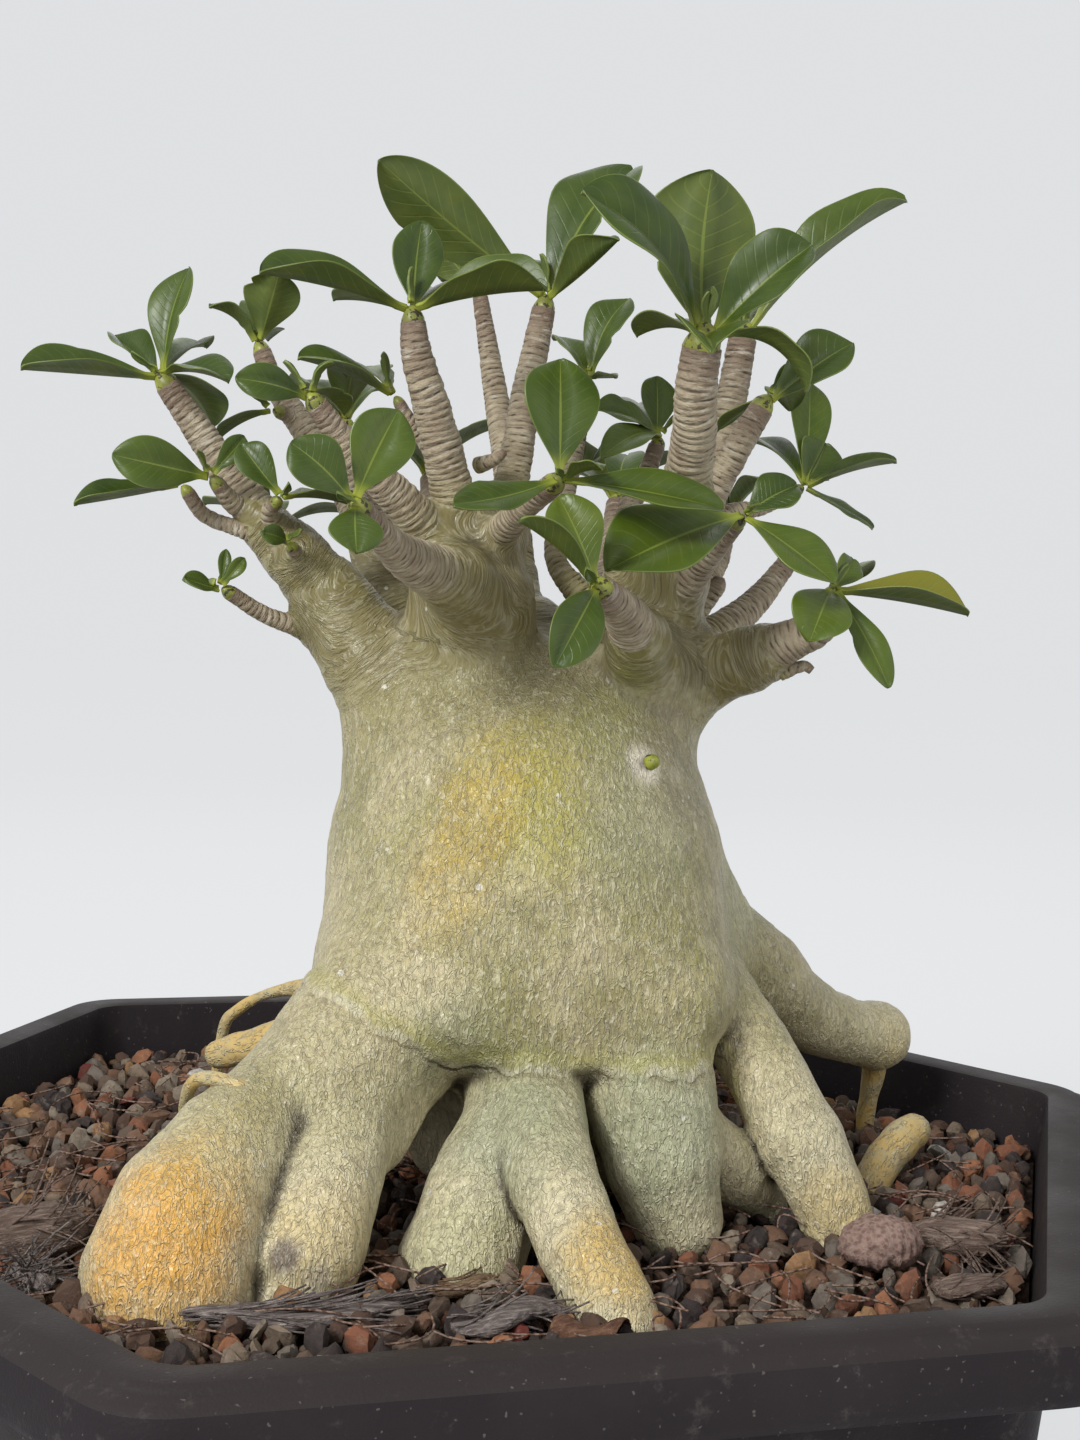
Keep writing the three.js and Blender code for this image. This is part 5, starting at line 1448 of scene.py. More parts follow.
    def make(self) -> bpy.types.Object:
        """Build and dress the wood.

        Returns:
            The piece.
        """
        stretches = self.stretches()
        places, faces = self.skin(self.field(stretches))
        places = self.relaxed(places, faces, self.smoothing, -0.53)
        weights = np.full(len(places), 1e-12)
        along, limbs, stems = np.zeros((3, len(places)))
        for stretch in (stretch for stretch in stretches if not stretch.hollow):
            away, flow = stretch.flow(places)
            share = np.exp(-np.clip(away, -10, 60) / 2.0)
            limbs += share * stretch.limb
            stems += share * (1 - stretch.limb)
            weight = np.exp(-np.clip(away, -10, 60) / 3.0) * stretch.limb
            weights += weight
            along += weight * flow[:, 2]
        flows = np.column_stack([places[:, :2], along / weights])
        limbs = limbs / (limbs + stems) * smoothstep(*self.limb_rise, places[:, 2])
        mesh = bpy.data.meshes.new("measure")
        mesh.from_pydata(places.tolist(), [], faces)
        normals = np.zeros(len(places) * 3, np.float32)
        mesh.vertex_normals.foreach_get("vector", normals)
        bpy.data.meshes.remove(mesh)
        normals = normals.reshape(-1, 3)
        above = self.above_line(places)
        # How deep each place lies in a hollow, measured by smoothing; the bark paints these places near black as
        # painted shade.
        sunk = ((self.relaxed(places, faces, self.hollow_rounds, 0.55) - places) * normals).sum(1)
        lip = 0.18 * np.exp(-((above - 1.6) / 1.6) ** 2) - 0.25 * np.exp(-((above + 0.6) / 0.8) ** 2)
        swell = 0.55 * fractal(places, 21.0, 2, 3.0) + 0.28 * fractal(places, (4.0, 4.0, 8.0), 2, 9.0)
        ringed = 0.4 * fractal(flows, (12.0, 12.0, 2.2), 2, 5.0)
        push = swell + limbs * ringed + lip * smoothstep(100, 108, places[:, 2])
        push *= smoothstep(self.foot, self.foot + 4, places[:, 2])
        shell = Shell(places + push[:, None] * normals, faces,
                      {"flow": flows * MM, "limb": limbs, "above": above, "sunk": sunk})
        return settle(shell.build("stem_and_limbs", Dress.STEM.material), "trunk")


@dataclass
class Twigs:
    """The ringed twigs that carry the rosettes."""

    sides: int = 20
    step: float = 0.42
    ring: float = 1.6
    ridge_depth: float = 0.36
    slant: float = 0.55
    uneven: float = 0.34
    seed: int = 5

    def twig(self, points: Sequence[Sequence[float]], generator: np.random.Generator) -> Shell:
        """Sweep one twig with irregular rings of bark.

        Args:
            points: (x, y, z, radius) along the twig.
            generator: The source of chance.

        Returns:
            The twig's shell.
        """
        rows, along = by_length(smooth_curve(np.array(points, float), CURVE_STEPS), self.step)
        _, first, second = carried_frames(rows[:, :3])
        angles = circle(self.sides)
        shift = generator.uniform(0, 50)
        pulse, tilt, lean = (np.array([noise.noise(Vector((value / size, shift, row))) for value in along])
                             for size, row in ((5.0, 0), (9.0, 7), (9.0, 19)))
        phase = (along / self.ring + 0.8 * pulse)[:, None]
        phase = phase + self.slant * tilt[:, None] * np.cos(angles) + self.slant * lean[:, None] * np.sin(angles)
        phase = phase + 0.16 * np.sin(2 * angles + shift + along[:, None] * 0.4)
        ridge = np.abs(np.sin(math.pi * phase)) ** 0.55
        thick = np.clip(rows[:, 3] / 5.5, 0.5, 1.2)[:, None]
        ends = smoothstep(0, 4, along[-1] - along)[:, None]
        rough = np.array([[noise.noise(Vector((a / 2.0, math.cos(b) * 1.4 + shift, math.sin(b) * 1.4)))
                           for b in angles] for a in along])
        radius = rows[:, 3:4] + self.ridge_depth * thick * ends * (ridge - 0.75) + self.uneven * thick * rough * ends
        values = {
            "flow": tube_flow(radius, angles, along, shift),
            "ridge": np.append((ridge * ends + 0.6 * (1 - ends)).ravel(), [1, 0.5]),
            "tip": np.append(np.repeat(along / along[-1], self.sides), [0, 1]),
        }
        return Shell(*lofted(tube(rows[:, :3], radius, angles, first, second)), values).outward()

    def make(self) -> bpy.types.Object:
        """Build and dress all the twigs as one piece.

        Returns:
            The piece.
        """
        generator = np.random.default_rng(self.seed)
        shell = Shell.join([self.twig(points, generator) for points in TWIGS + STUBS])
        return settle(shell.build("twigs", Dress.TWIG.material), "trunk")


@dataclass
class Rootlets:
    """The thin roots that leave the legs."""

    sides: int = 14
    step: float = 1.0
    cap_rings: int = 4
    uneven: float = 0.12

    def make(self) -> bpy.types.Object:
        """Build and dress the thin roots.

        Returns:
            The piece.
        """
        shells, angles = [], circle(self.sides)
        for number, points in enumerate(ROOTLETS):
            rows, along = by_length(smooth_curve(np.array(points, float), CURVE_STEPS), self.step)
            tangents, *axes = carried_frames(rows[:, :3])
            end = rows[-1, 3]
            rounding = np.linspace(0.25, 1.0, self.cap_rings)[:, None] * math.pi / 2
            cap = rows[-1, :3] + tangents[-1] * end * np.sin(rounding)
            rows = np.vstack([rows, np.column_stack([cap, end * np.cos(rounding) + 0.02])])
            along = np.append(along, along[-1] + end * np.sin(rounding[:, 0]))
            first, second = (np.vstack([axis, np.repeat(axis[-1:], self.cap_rings, axis=0)]) for axis in axes)
            lumps = np.array([[noise.noise(Vector((a / 6.0, math.cos(b) + 9 * number, math.sin(b))))
                               for b in angles] for a in along])
            radius = rows[:, 3:4] * (1 + self.uneven * lumps)
            places, faces = lofted(tube(rows[:, :3], radius, angles, first, second))
            shells.append(Shell(places, faces, {"flow": tube_flow(radius, angles, along)}).outward())
        piece = Shell.join(shells).build("thin_roots", Dress.ROOTLET.material)
        return settle(piece, "trunk")


# ---- Leaves ----


@dataclass
class Rosette:
    """The leaves at the end of one twig."""

    name: str
    twig: Array
    leaves: Sequence[Sequence[object]]
    generator: np.random.Generator
    stations: int = 32
    columns: int = 11
    seat: float = 3.0
    inset: float = 0.45
    thickness: float = 0.55
    petiole: float = 1.0
    bitten: float = 0.3
    yellow: int = -1
    tip_height: float = 1.3
    broader: float = 1.08

    def blade(self, base: Array, tip: Array, width: float, arch: float, fold: float, upper: Array) -> Shell:
        """Shape one leaf: obovate, folded along its midrib, with a rib below and a waved edge.

        Args:
            base: Where the leaf leaves the shoot.
            tip: Its far end.
            width: Its greatest width.
            arch: How far its middle rises.
            fold: How far each half is raised, in degrees.
            upper: Where its upper side looks.

        Returns:
            The leaf's shell.
        """
        chord = tip - base
        length = np.linalg.norm(chord)
        forward = chord / length
        upper = unit(upper - forward * upper.dot(forward))
        bow = (base + tip) / 2 + 2 * arch * upper
        t = np.sin(np.linspace(0, math.pi / 2, self.stations)) ** 1.35
        t = np.clip(t, 0, 0.997)[:, None]
        rib = (1 - t) ** 2 * base + 2 * (1 - t) * t * bow + t ** 2 * tip
        tangent = unit((1 - t) * (bow - base) + t * (tip - bow))
        side = unit(np.cross(tangent, upper))
        normal = np.cross(side, tangent)
        half = width / 2 * np.sin(math.pi * t ** 1.6) ** 0.68
        half = np.maximum(half, self.petiole * smoothstep(0.4, 0.12, t))
        s = np.sin(np.linspace(-1, 1, self.columns) * math.pi / 2)[None, :]
        rise = math.radians(fold)
        wave = self.generator.uniform(0, 6.28)
        turns = self.generator.uniform(1.2, 2.4)
        sway = self.generator.uniform(-0.05, 0.05) * width
        lift = np.sqrt(s ** 2 + 0.015) - 0.12
        lift = lift * half * math.sin(rise) + 0.10 * half * np.sin(math.pi * np.abs(s)) * (0.4 + t)
        lift = lift + 0.05 * width * np.abs(s) ** 2 * np.sin(wave + turns * 2 * math.pi * t + np.sign(s)) * t
        bite = self.generator.uniform(0.10, 0.30) * (self.generator.random() < self.bitten)
        nick = bite * np.exp(-((t - self.generator.uniform(0.4, 0.8)) / 0.045) ** 2)
        flat = s * half * (1 - nick * (s > 0.2)) * math.cos(rise) + sway * np.sin(math.pi * t)
        ridge = np.exp(-(s * half / 0.75) ** 2)
        thin = self.thickness * (1 - 0.5 * s ** 2) * np.where(half < 1.4, 1.6, 1.0) / 2
        top = lift + thin - 0.12 * ridge
        bottom = lift - thin - 0.45 * ridge * (1 - 0.75 * t)
        above, below = (rib[:, None, :] + flat[..., None] * side[:, None] + height[..., None] * normal[:, None]
                        for height in (top, bottom))
        places, faces = lofted(np.concatenate([above, below[:, ::-1]], axis=1))
        across = np.concatenate([s[0], s[0, ::-1]]) / 2 + 0.5
        uvs = np.stack([np.broadcast_to(across, (self.stations, 2 * self.columns)),
                        np.broadcast_to(t, (self.stations, 2 * self.columns))], axis=-1).reshape(-1, 2)
        uvs = np.vstack([uvs, [[0.5, 0], [0.5, 1]]])
        under = np.concatenate([np.zeros(self.columns), np.ones(self.columns)])
        under = np.append(np.tile(under, self.stations), [0.5, 0.5])
        tone = np.full(len(places), np.clip(self.generator.normal(0.35, 0.28), 0, 1))
        return Shell(places, faces, {"below": under, "tone": tone}, np.zeros(len(faces)), uvs).outward()

    def stub(self, end: Array, axis: Array, radius: float) -> Shell:
        """Shape the fleshy tip that the leaves stand on.

        Args:
            end: (x, y, z, radius) of the twig's end.
            axis: Where the twig points.
            radius: The tip's radius.

        Returns:
            The tip's shell.
        """
        heights = np.array([-0.35, 0.0, 0.35, 0.7, 1.05, self.tip_height]) * radius
        radii = radius * np.array([0.9, 0.96, 0.9, 0.76, 0.52, 0.22])
        centres = end[:3] + heights[:, None] * axis
        _, first, second = carried_frames(centres)
        angles = circle(12)
        lobes = 1 + 0.07 * np.sin(3 * angles + heights[:, None])
        places, faces = lofted(tube(centres, radii[:, None] * lobes, angles, first, second))
        values = {"below": np.zeros(len(places)), "tone": np.zeros(len(places))}
        return Shell(places, faces, values, np.ones(len(faces)), np.zeros((len(places), 2))).outward()

    def make(self) -> bpy.types.Object:
        """Build and dress the rosette, with a few young leaves at its heart.

        Returns:
            The piece.
        """
        curve = smooth_curve(self.twig, CURVE_STEPS)
        axis = unit(curve[-1, :3] - curve[-2, :3])
        end = self.twig[-1]
        radius = end[3]
        seat = end[:3] + self.seat * axis
        shells = [self.stub(end, axis, radius)]
        for dx, dy, dz, width, arch, fold, facing in self.leaves:
            tip = end[:3] + np.array([dx, dy, dz], float)
            outwards = tip - seat
            outwards = unit(outwards - axis * outwards.dot(axis))
            base = seat + outwards * radius * self.inset
            blade = self.blade(base, tip, width * self.broader, arch, fold, np.array(FACING[facing], float))
            if len(shells) - 1 == self.yellow:
                blade.values["tone"] = np.full(len(blade.places), 1.5)
            shells.append(blade)
        for _ in range(2 if radius > 3 else 1):
            spread = unit(axis + self.generator.normal(0, 0.33, 3))
            size = self.generator.uniform(6, 10) * (0.7 + radius / 12)
            heart = seat + axis * 1.5
            shells.append(self.blade(heart, heart + spread * size, size * 0.3, 0.3, 30,
                                     self.generator.normal(0, 1, 3)))
        name = self.name.replace("rosette", "leaves").replace("leaf_", "leaf_on_")
        piece = Shell.join(shells).build(name, Dress.LEAF.material, Dress.SHOOT.material)
        return settle(piece, self.name)


def hidden_whorl(count: int, length: float, width: float, draw: Callable[[], float]) -> list[tuple[object, ...]]:
    """Open a whorl of leaves at the golden angle, as the CAD does for the hidden shoots.

    Args:
        count: How many leaves.
        length: Their length.
        width: Their width.
        draw: The repeatable stream of numbers.

    Returns:
        The leaves.
    """
    turn, golden = draw() * 2 * math.pi, 2.4
    leaves = []
    for number in range(count):
        heading = turn + number * golden
        reach = length * (0.8 + 0.3 * draw())
        lift = 0.25 + 0.5 * draw()
        wide = width * (0.85 + 0.25 * draw())
        leaves.append((reach * math.cos(heading) * math.cos(lift), reach * math.sin(heading) * math.cos(lift),
                       reach * math.sin(lift), wide, 3, 20, "up"))
    return leaves


# ---- Pot and gravel ----


@dataclass
class Pot:
    """The hexagonal pot, with its stepped lip, feet and drain holes."""

    height: float = 95.0
    floor: float = 6.0
    rim: float = 177.0
    mouth: float = 160.0
    lip: float = 15.0
    wall: float = 4.0
    taper: float = 0.13
    arc_steps: int = 9
    foot_width: float = 13.0
    gap_depth: float = 19.5
    gap_half: float = 23.0
    sharp: float = 38.0
    drain_radius: float = 6.0
    drain_circle: float = 78.0

    def hexagon(self, corner: float, fillet: float, z: float) -> Array:
        """Draw a hexagon with rounded corners.

        Args:
            corner: The distance from the middle to a corner.
            fillet: The corners' radius.
            z: The height.

        Returns:
            The ring of points.
        """
        reach = corner - fillet / math.cos(math.pi / 6)
        ring = []
        for side in range(6):
            axis = side * math.pi / 3
            for step in range(self.arc_steps + 1):
                angle = axis + (step / self.arc_steps - 0.5) * math.pi / 3
                ring.append((reach * math.cos(axis) + fillet * math.cos(angle),
                             reach * math.sin(axis) + fillet * math.sin(angle), z))
        return np.array(ring)

    def inner(self, z: float) -> float:
        """Give the inner wall's corner radius at a height."""
        return self.mouth - (self.height - z) * self.taper

    def outer(self, z: float) -> float:
        """Give the outer wall's corner radius at a height."""
        return self.inner(z) + self.wall

    def profile(self) -> list[tuple[float, float, float]]:
        """Draw the wall's section, from the outside foot over the lip to the inside floor.

        Returns:
            (corner, fillet, height) of each ring.
        """
        under, top, rim = self.height - self.lip, self.height, self.rim
        rows = [(self.outer(0) - 3, 16, 0), (self.outer(0) - 1, 16, 0.7), (self.outer(0), 16, 3)]
        rows += [(self.outer(z), 16, z) for z in (20, 40, 60, under - 1)]
        rows += [(self.outer(under) + 1.2, 16, under - 0.2), (rim - 2.2, 18, under), (rim - 0.8, 18, under + 0.6),
                 (rim, 18, under + 2.2), (rim, 18, top - 6.5), (rim - 0.7, 18, top - 3.2), (rim - 2.6, 17.5, top - 1.8),
                 (rim - 5, 17, top - 1.5), (rim - 5.8, 16.5, top - 0.9), (rim - 7.2, 16, top),
                 (self.mouth + 1.6, 10.5, top), (self.mouth + 0.5, 10.2, top - 0.4), (self.mouth, 10, top - 1.6)]
        rows += [(self.inner(z), 10, z) for z in (70, 40, self.floor + 3)]
        rows += [(self.inner(self.floor) - 2.5, 9, self.floor)]
        return rows

    def cutter(self, ring: Array, low: float, high: float) -> bpy.types.Object:
        """Make a closed block, from one height to another, that is cut out of the pot."""
        return Shell(*lofted(np.array([ring + [0, 0, z] for z in (low, high)]))).outward().build("cutter")

    def make(self) -> bpy.types.Object:
        """Build and dress the pot.

        Returns:
            The piece.
        """
        rings = np.array([self.hexagon(*row) for row in self.profile()])
        shell = Shell(*lofted(rings)).outward().build("pot_shell", Dress.POT.material)
        cutters = [self.cutter(self.hexagon(self.outer(0) - self.foot_width, 10, 0), -1, 3)]
        reach, angles = self.outer(0) * math.cos(math.pi / 6), circle(24)
        for side in range(6):
            turn = (side + 0.5) * math.pi / 3
            out, along = np.array([math.cos(turn), math.sin(turn), 0]), np.array([-math.sin(turn), math.cos(turn), 0])
            gap = [reach * out + u * self.gap_depth * out + v * self.gap_half * along
                   for u, v in ((-1, -1), (1, -1), (1, 1), (-1, 1))]
            hole = self.drain_circle * out + self.drain_radius * np.column_stack(
                [np.cos(angles), np.sin(angles), np.zeros(len(angles))])
            cutters += [self.cutter(np.array(gap), -1, 3), self.cutter(hole, -1, 7)]
        for cutter in cutters:
            modifier = shell.modifiers.new("cut", "BOOLEAN")
            modifier.object, modifier.operation, modifier.solver = cutter, "DIFFERENCE", "EXACT"
        mesh = baked(shell)
        mesh.shade_smooth()
        mesh.set_sharp_from_angle(angle=math.radians(self.sharp))
        shell.modifiers.clear()
        shell.data = mesh
        for cutter in cutters:
            bpy.data.objects.remove(cutter)
        return settle(shell, "pot")


def baked(piece: bpy.types.Object) -> bpy.types.Mesh:
    """Turn a piece with its modifiers into a plain mesh.

    Args:
        piece: The object.

    Returns:
        A new mesh.
    """
    bpy.context.view_layer.update()
    graph = bpy.context.evaluated_depsgraph_get()
    return bpy.data.meshes.new_from_object(piece.evaluated_get(graph), depsgraph=graph)


class Tree:
    """Adds and links nodes in a Geometry Nodes tree with named inputs."""

    def __init__(self, name: str, inputs: dict[str, tuple[str, object]]) -> None:
        """Start a tree.

        Args:
            name: The tree's name.
            inputs: Socket types and defaults by name.
        """
        self.tree = bpy.data.node_groups.new(name, "GeometryNodeTree")
        self.tree.interface.new_socket("Geometry", in_out="INPUT", socket_type="NodeSocketGeometry")
        for label, (kind, default) in inputs.items():
            socket = self.tree.interface.new_socket(label, in_out="INPUT", socket_type=kind)
            if default is not None:
                socket.default_value = default
        self.tree.interface.new_socket("Geometry", in_out="OUTPUT", socket_type="NodeSocketGeometry")
        self.nodes = Nodes(self.tree)
        self.given = self.nodes.add("NodeGroupInput").outputs

    def end(self, geometry: Value) -> "Tree":
        """Realize the instances, set the material and finish the tree.

        Args:
            geometry: What the tree has made.

        Returns:
            This tree.
        """
        real = self.nodes.take("GeometryNodeRealizeInstances", {"Geometry": geometry})
        dressed = self.nodes.take("GeometryNodeSetMaterial", {"Geometry": real, "Material": self.given["Material"]})
        self.nodes.add("NodeGroupOutput", {0: dressed})
        return self

    def run(self, piece: bpy.types.Object, **values: object) -> bpy.types.Mesh:
        """Run the tree on a piece and take the plain mesh.

        Args:
            piece: The object that the tree starts from.
            values: The inputs, by name with underscores for spaces.

        Returns:
            The mesh.
        """
        modifier = piece.modifiers.new("nodes", "NODES")
        modifier.node_group = self.tree
        names = {item.name: item.identifier for item in self.tree.interface.items_tree if item.in_out == "INPUT"}
        for label, value in values.items():
            modifier[names[label.replace("_", " ")]] = value
        mesh = baked(piece)
        piece.modifiers.clear()
        return mesh


@dataclass
class Gravel:
    """The mix that fills the pot: a dark bed and loose grains on it."""

    top: float = 79.0
    mound: float = 3.0
    mound_reach: float = 130.0
    pitch: float = 2.4
    corner: float = 157.0
    under: float = 6.4
    sunken: float = -2.0
    variants: int = 12
    sharp: float = 34.0
    fibres: int = 420
    fibre_radius: float = 0.00025
    litter_share: float = 0.84
    litter_lift: float = 4.2
    seed: int = 21

    def level(self, x: Array, y: Array) -> Array:
        """Give the bed's height."""
        away = np.hypot(x - CAUDEX[0][0][0], y - CAUDEX[0][0][1])
        return self.top + self.mound * np.clip(1 - away / self.mound_reach, 0, None)

    def bed(self) -> bpy.types.Object:
        """Build the solid bed, down to the pot's floor.

        Returns:
            The piece.
        """
        rings, sides, pot = round(self.corner / self.pitch), 360, Pot()
        outline = pot.hexagon(self.corner, 9, 0)[:, :2]
        closed = np.vstack([outline, outline[:1]])
        marks = np.concatenate([[0], np.cumsum(np.linalg.norm(np.diff(closed, axis=0), axis=1))])
        wanted = np.linspace(0, marks[-1], sides, endpoint=False)
        border = np.column_stack([np.interp(wanted, marks, closed[:, axis]) for axis in range(2)])
        plan = np.linspace(0, 1, rings + 1)[1:, None, None] * border
        places = np.concatenate([plan, self.level(plan[..., 0], plan[..., 1])[..., None]], axis=-1)
        bumps = fractal(places.reshape(-1, 3), 7.0, 3, 11.0).reshape(places.shape[:2])
        places[..., 2] += self.sunken + 1.3 * bumps
        floor_share = pot.inner(self.under) / pot.inner(self.top)
        wall = np.concatenate([border * floor_share * 0.995, np.full((sides, 1), self.under)], axis=1)
        vertices, faces = lofted(np.concatenate([places, wall[None]], axis=0))
        vertices[-2] = (0, 0, self.top + self.mound + self.sunken)
        return settle(Shell(vertices, faces).outward().build("mix_bed", Dress.MIX.material), "soil")

    def grain(self, number: int) -> bpy.types.Object:
        """Shape one kind of grain: an angular chip, one unit across.

        Args:
            number: Which kind.

        Returns:
            The grain.
        """
        generator = np.random.default_rng(self.seed + number)
        directions = unit(generator.normal(0, 1, (9, 3)))
        offsets = generator.uniform(0.30, 0.52, 9)
        rings, sides, points = 5, 7, []
        for level, side in product(range(1, rings + 1), range(sides)):
            polar, turn = math.pi * level / (rings + 1), 2 * math.pi * (side + 0.5 * (level % 2)) / sides
            points.append((math.sin(polar) * math.cos(turn), math.sin(polar) * math.sin(turn), math.cos(polar)))
        points = np.vstack([points, [(0, 0, 1), (0, 0, -1)]])
        facing = points @ directions.T
        reach = np.min(np.where(facing > 0.05, offsets / np.maximum(facing, 0.05), 0.6), axis=1)
        squash = generator.uniform([0.9, 0.65, 0.5], [1.25, 1.0, 0.85])
        places = points * np.minimum(reach, 0.56)[:, None] * squash
        return Shell(places / MM, closed_faces(rings, sides)).outward().build(f"grain_{number:02d}")

    def tree(self) -> Tree:
        """Build the tree that scatters grains over a surface.

        Returns:
            The tree.
        """
        tree = Tree("Scatter grains", {
            "Grains": ("NodeSocketCollection", None), "Spacing": ("NodeSocketFloat", 0.005),
            "Smallest": ("NodeSocketFloat", 0.004), "Largest": ("NodeSocketFloat", 0.008),
            "Seed": ("NodeSocketInt", 0), "Material": ("NodeSocketMaterial", None),
        })
        take, given = tree.nodes.take, tree.given
        points = take("GeometryNodeDistributePointsOnFaces", {
            "Mesh": given["Geometry"], "Distance Min": given["Spacing"], "Density Max": 200000.0,
            "Seed": given["Seed"]}, "Points", distribute_method="POISSON")
        kinds = take("GeometryNodeCollectionInfo", {"Collection": given["Grains"], "Separate Children": True,
                                                    "Reset Children": True})
        turn = take("FunctionNodeRandomValue", {1: (6.283, 6.283, 6.283), "Seed": 3}, data_type="FLOAT_VECTOR")
        size = take("FunctionNodeRandomValue", {2: given["Smallest"], 3: given["Largest"], "Seed": 4}, 1)
        laid = take("GeometryNodeInstanceOnPoints", {"Points": points, "Instance": kinds, "Pick Instance": True,
                                                     "Rotation": turn, "Scale": size})
        tint = take("FunctionNodeRandomValue", {"Seed": 5}, 1)
        return tree.end(take("GeometryNodeStoreNamedAttribute", {"Geometry": laid, "Name": "tint", "Value": tint},
                             domain="INSTANCE"))

    def surface(self, lift: float, corner: float) -> bpy.types.Object:
        """Make the sheet that grains are scattered on.

        Args:
            lift: Its height over the bed.
            corner: The distance from its middle to a corner.

        Returns:
            The sheet.
        """
        outline = Pot().hexagon(corner, 9, 0)
        shares = np.linspace(0, 1, 12)[1:]
        plan = shares[:, None, None] * outline[None, :, :2]
        heights = self.level(plan[..., 0], plan[..., 1]) + lift
        places = np.concatenate([plan, heights[..., None]], axis=-1).reshape(-1, 3)
        places = np.vstack([places, (0, 0, self.top + self.mound + lift)])
        faces = ring_faces(len(shares), len(outline))
        faces += [(side, (side + 1) % len(outline), len(places) - 1) for side in range(len(outline))]
        return Shell(places, faces).build("scatter_sheet")

    def litter(self, tree: Tree) -> bpy.types.Object:
        """Scatter short curled fibres over the grains.

        Args:
            tree: The tree that gives threads their thickness.

        Returns:
            The fibres as one piece.
        """
        generator = np.random.default_rng(self.seed)
        lines, steps = [], np.linspace(-0.5, 0.5, 7)[:, None]
        for _ in range(self.fibres):
            turn = generator.uniform(0, 2 * math.pi)
            reach = self.corner * self.litter_share * math.sqrt(generator.random())
            middle = np.array([reach * math.cos(turn), reach * math.sin(turn)])
            heading, length = generator.uniform(0, math.pi), generator.uniform(6, 24)
            ahead = np.array([math.cos(heading), math.sin(heading)])
            aside = np.array([-math.sin(heading), math.cos(heading)])
            plan = middle + length * steps * ahead + generator.normal(0, 2.5) * (4 * steps ** 2) * aside
            hump = generator.uniform(-0.8, 1.4) * (1 - 4 * steps[:, 0] ** 2)
            lines.append(np.column_stack([plan, self.level(plan[:, 0], plan[:, 1]) + self.litter_lift + hump]))
        piece = placed("litter_fibres", threaded(tree, lines, self.fibre_radius, Dress.LITTER))
        return settle(piece, "soil")

    def make(self) -> None:
        """Build the bed and the layers of grains."""
        self.bed()
        grains = bpy.data.collections.new("grains")
        kinds = [self.grain(number) for number in range(self.variants)]
        for kind in kinds:
            bpy.context.scene.collection.objects.unlink(kind)
            grains.objects.link(kind)
        tree = self.tree()
        layers = [
            # The fine layer lies under the coarse one; its finish darkens it as painted shade in the gaps.
            ("gravel_fine", Dress.FINES, 0.0, 155.5, 0.0034, 0.0026, 0.0046, 1),
            ("gravel_coarse", Dress.GRIT, 1.2, 154.0, 0.0053, 0.0046, 0.0085, 2),
        ]
        for name, dress, lift, corner, spacing, smallest, largest, seed in layers:
            sheet = self.surface(lift, corner)
            mesh = tree.run(sheet, Grains=grains, Spacing=spacing, Smallest=smallest, Largest=largest,
                            Seed=seed, Material=dress.material)
            bpy.data.objects.remove(sheet)
            mesh.shade_smooth()
            mesh.set_sharp_from_angle(angle=math.radians(self.sharp))
            settle(placed(name, mesh), "soil")
        for kind in kinds:
            bpy.data.objects.remove(kind)
        bpy.data.collections.remove(grains)


# ---- Loose bits ----


class Shape(Enum):
    """What a loose bit is."""

    CHUNK = "chunk"
    TUFT = "tuft"
    STRIP = "strip"
    FAN = "fan"
    LUMP = "lump"
    LEAF = "leaf"


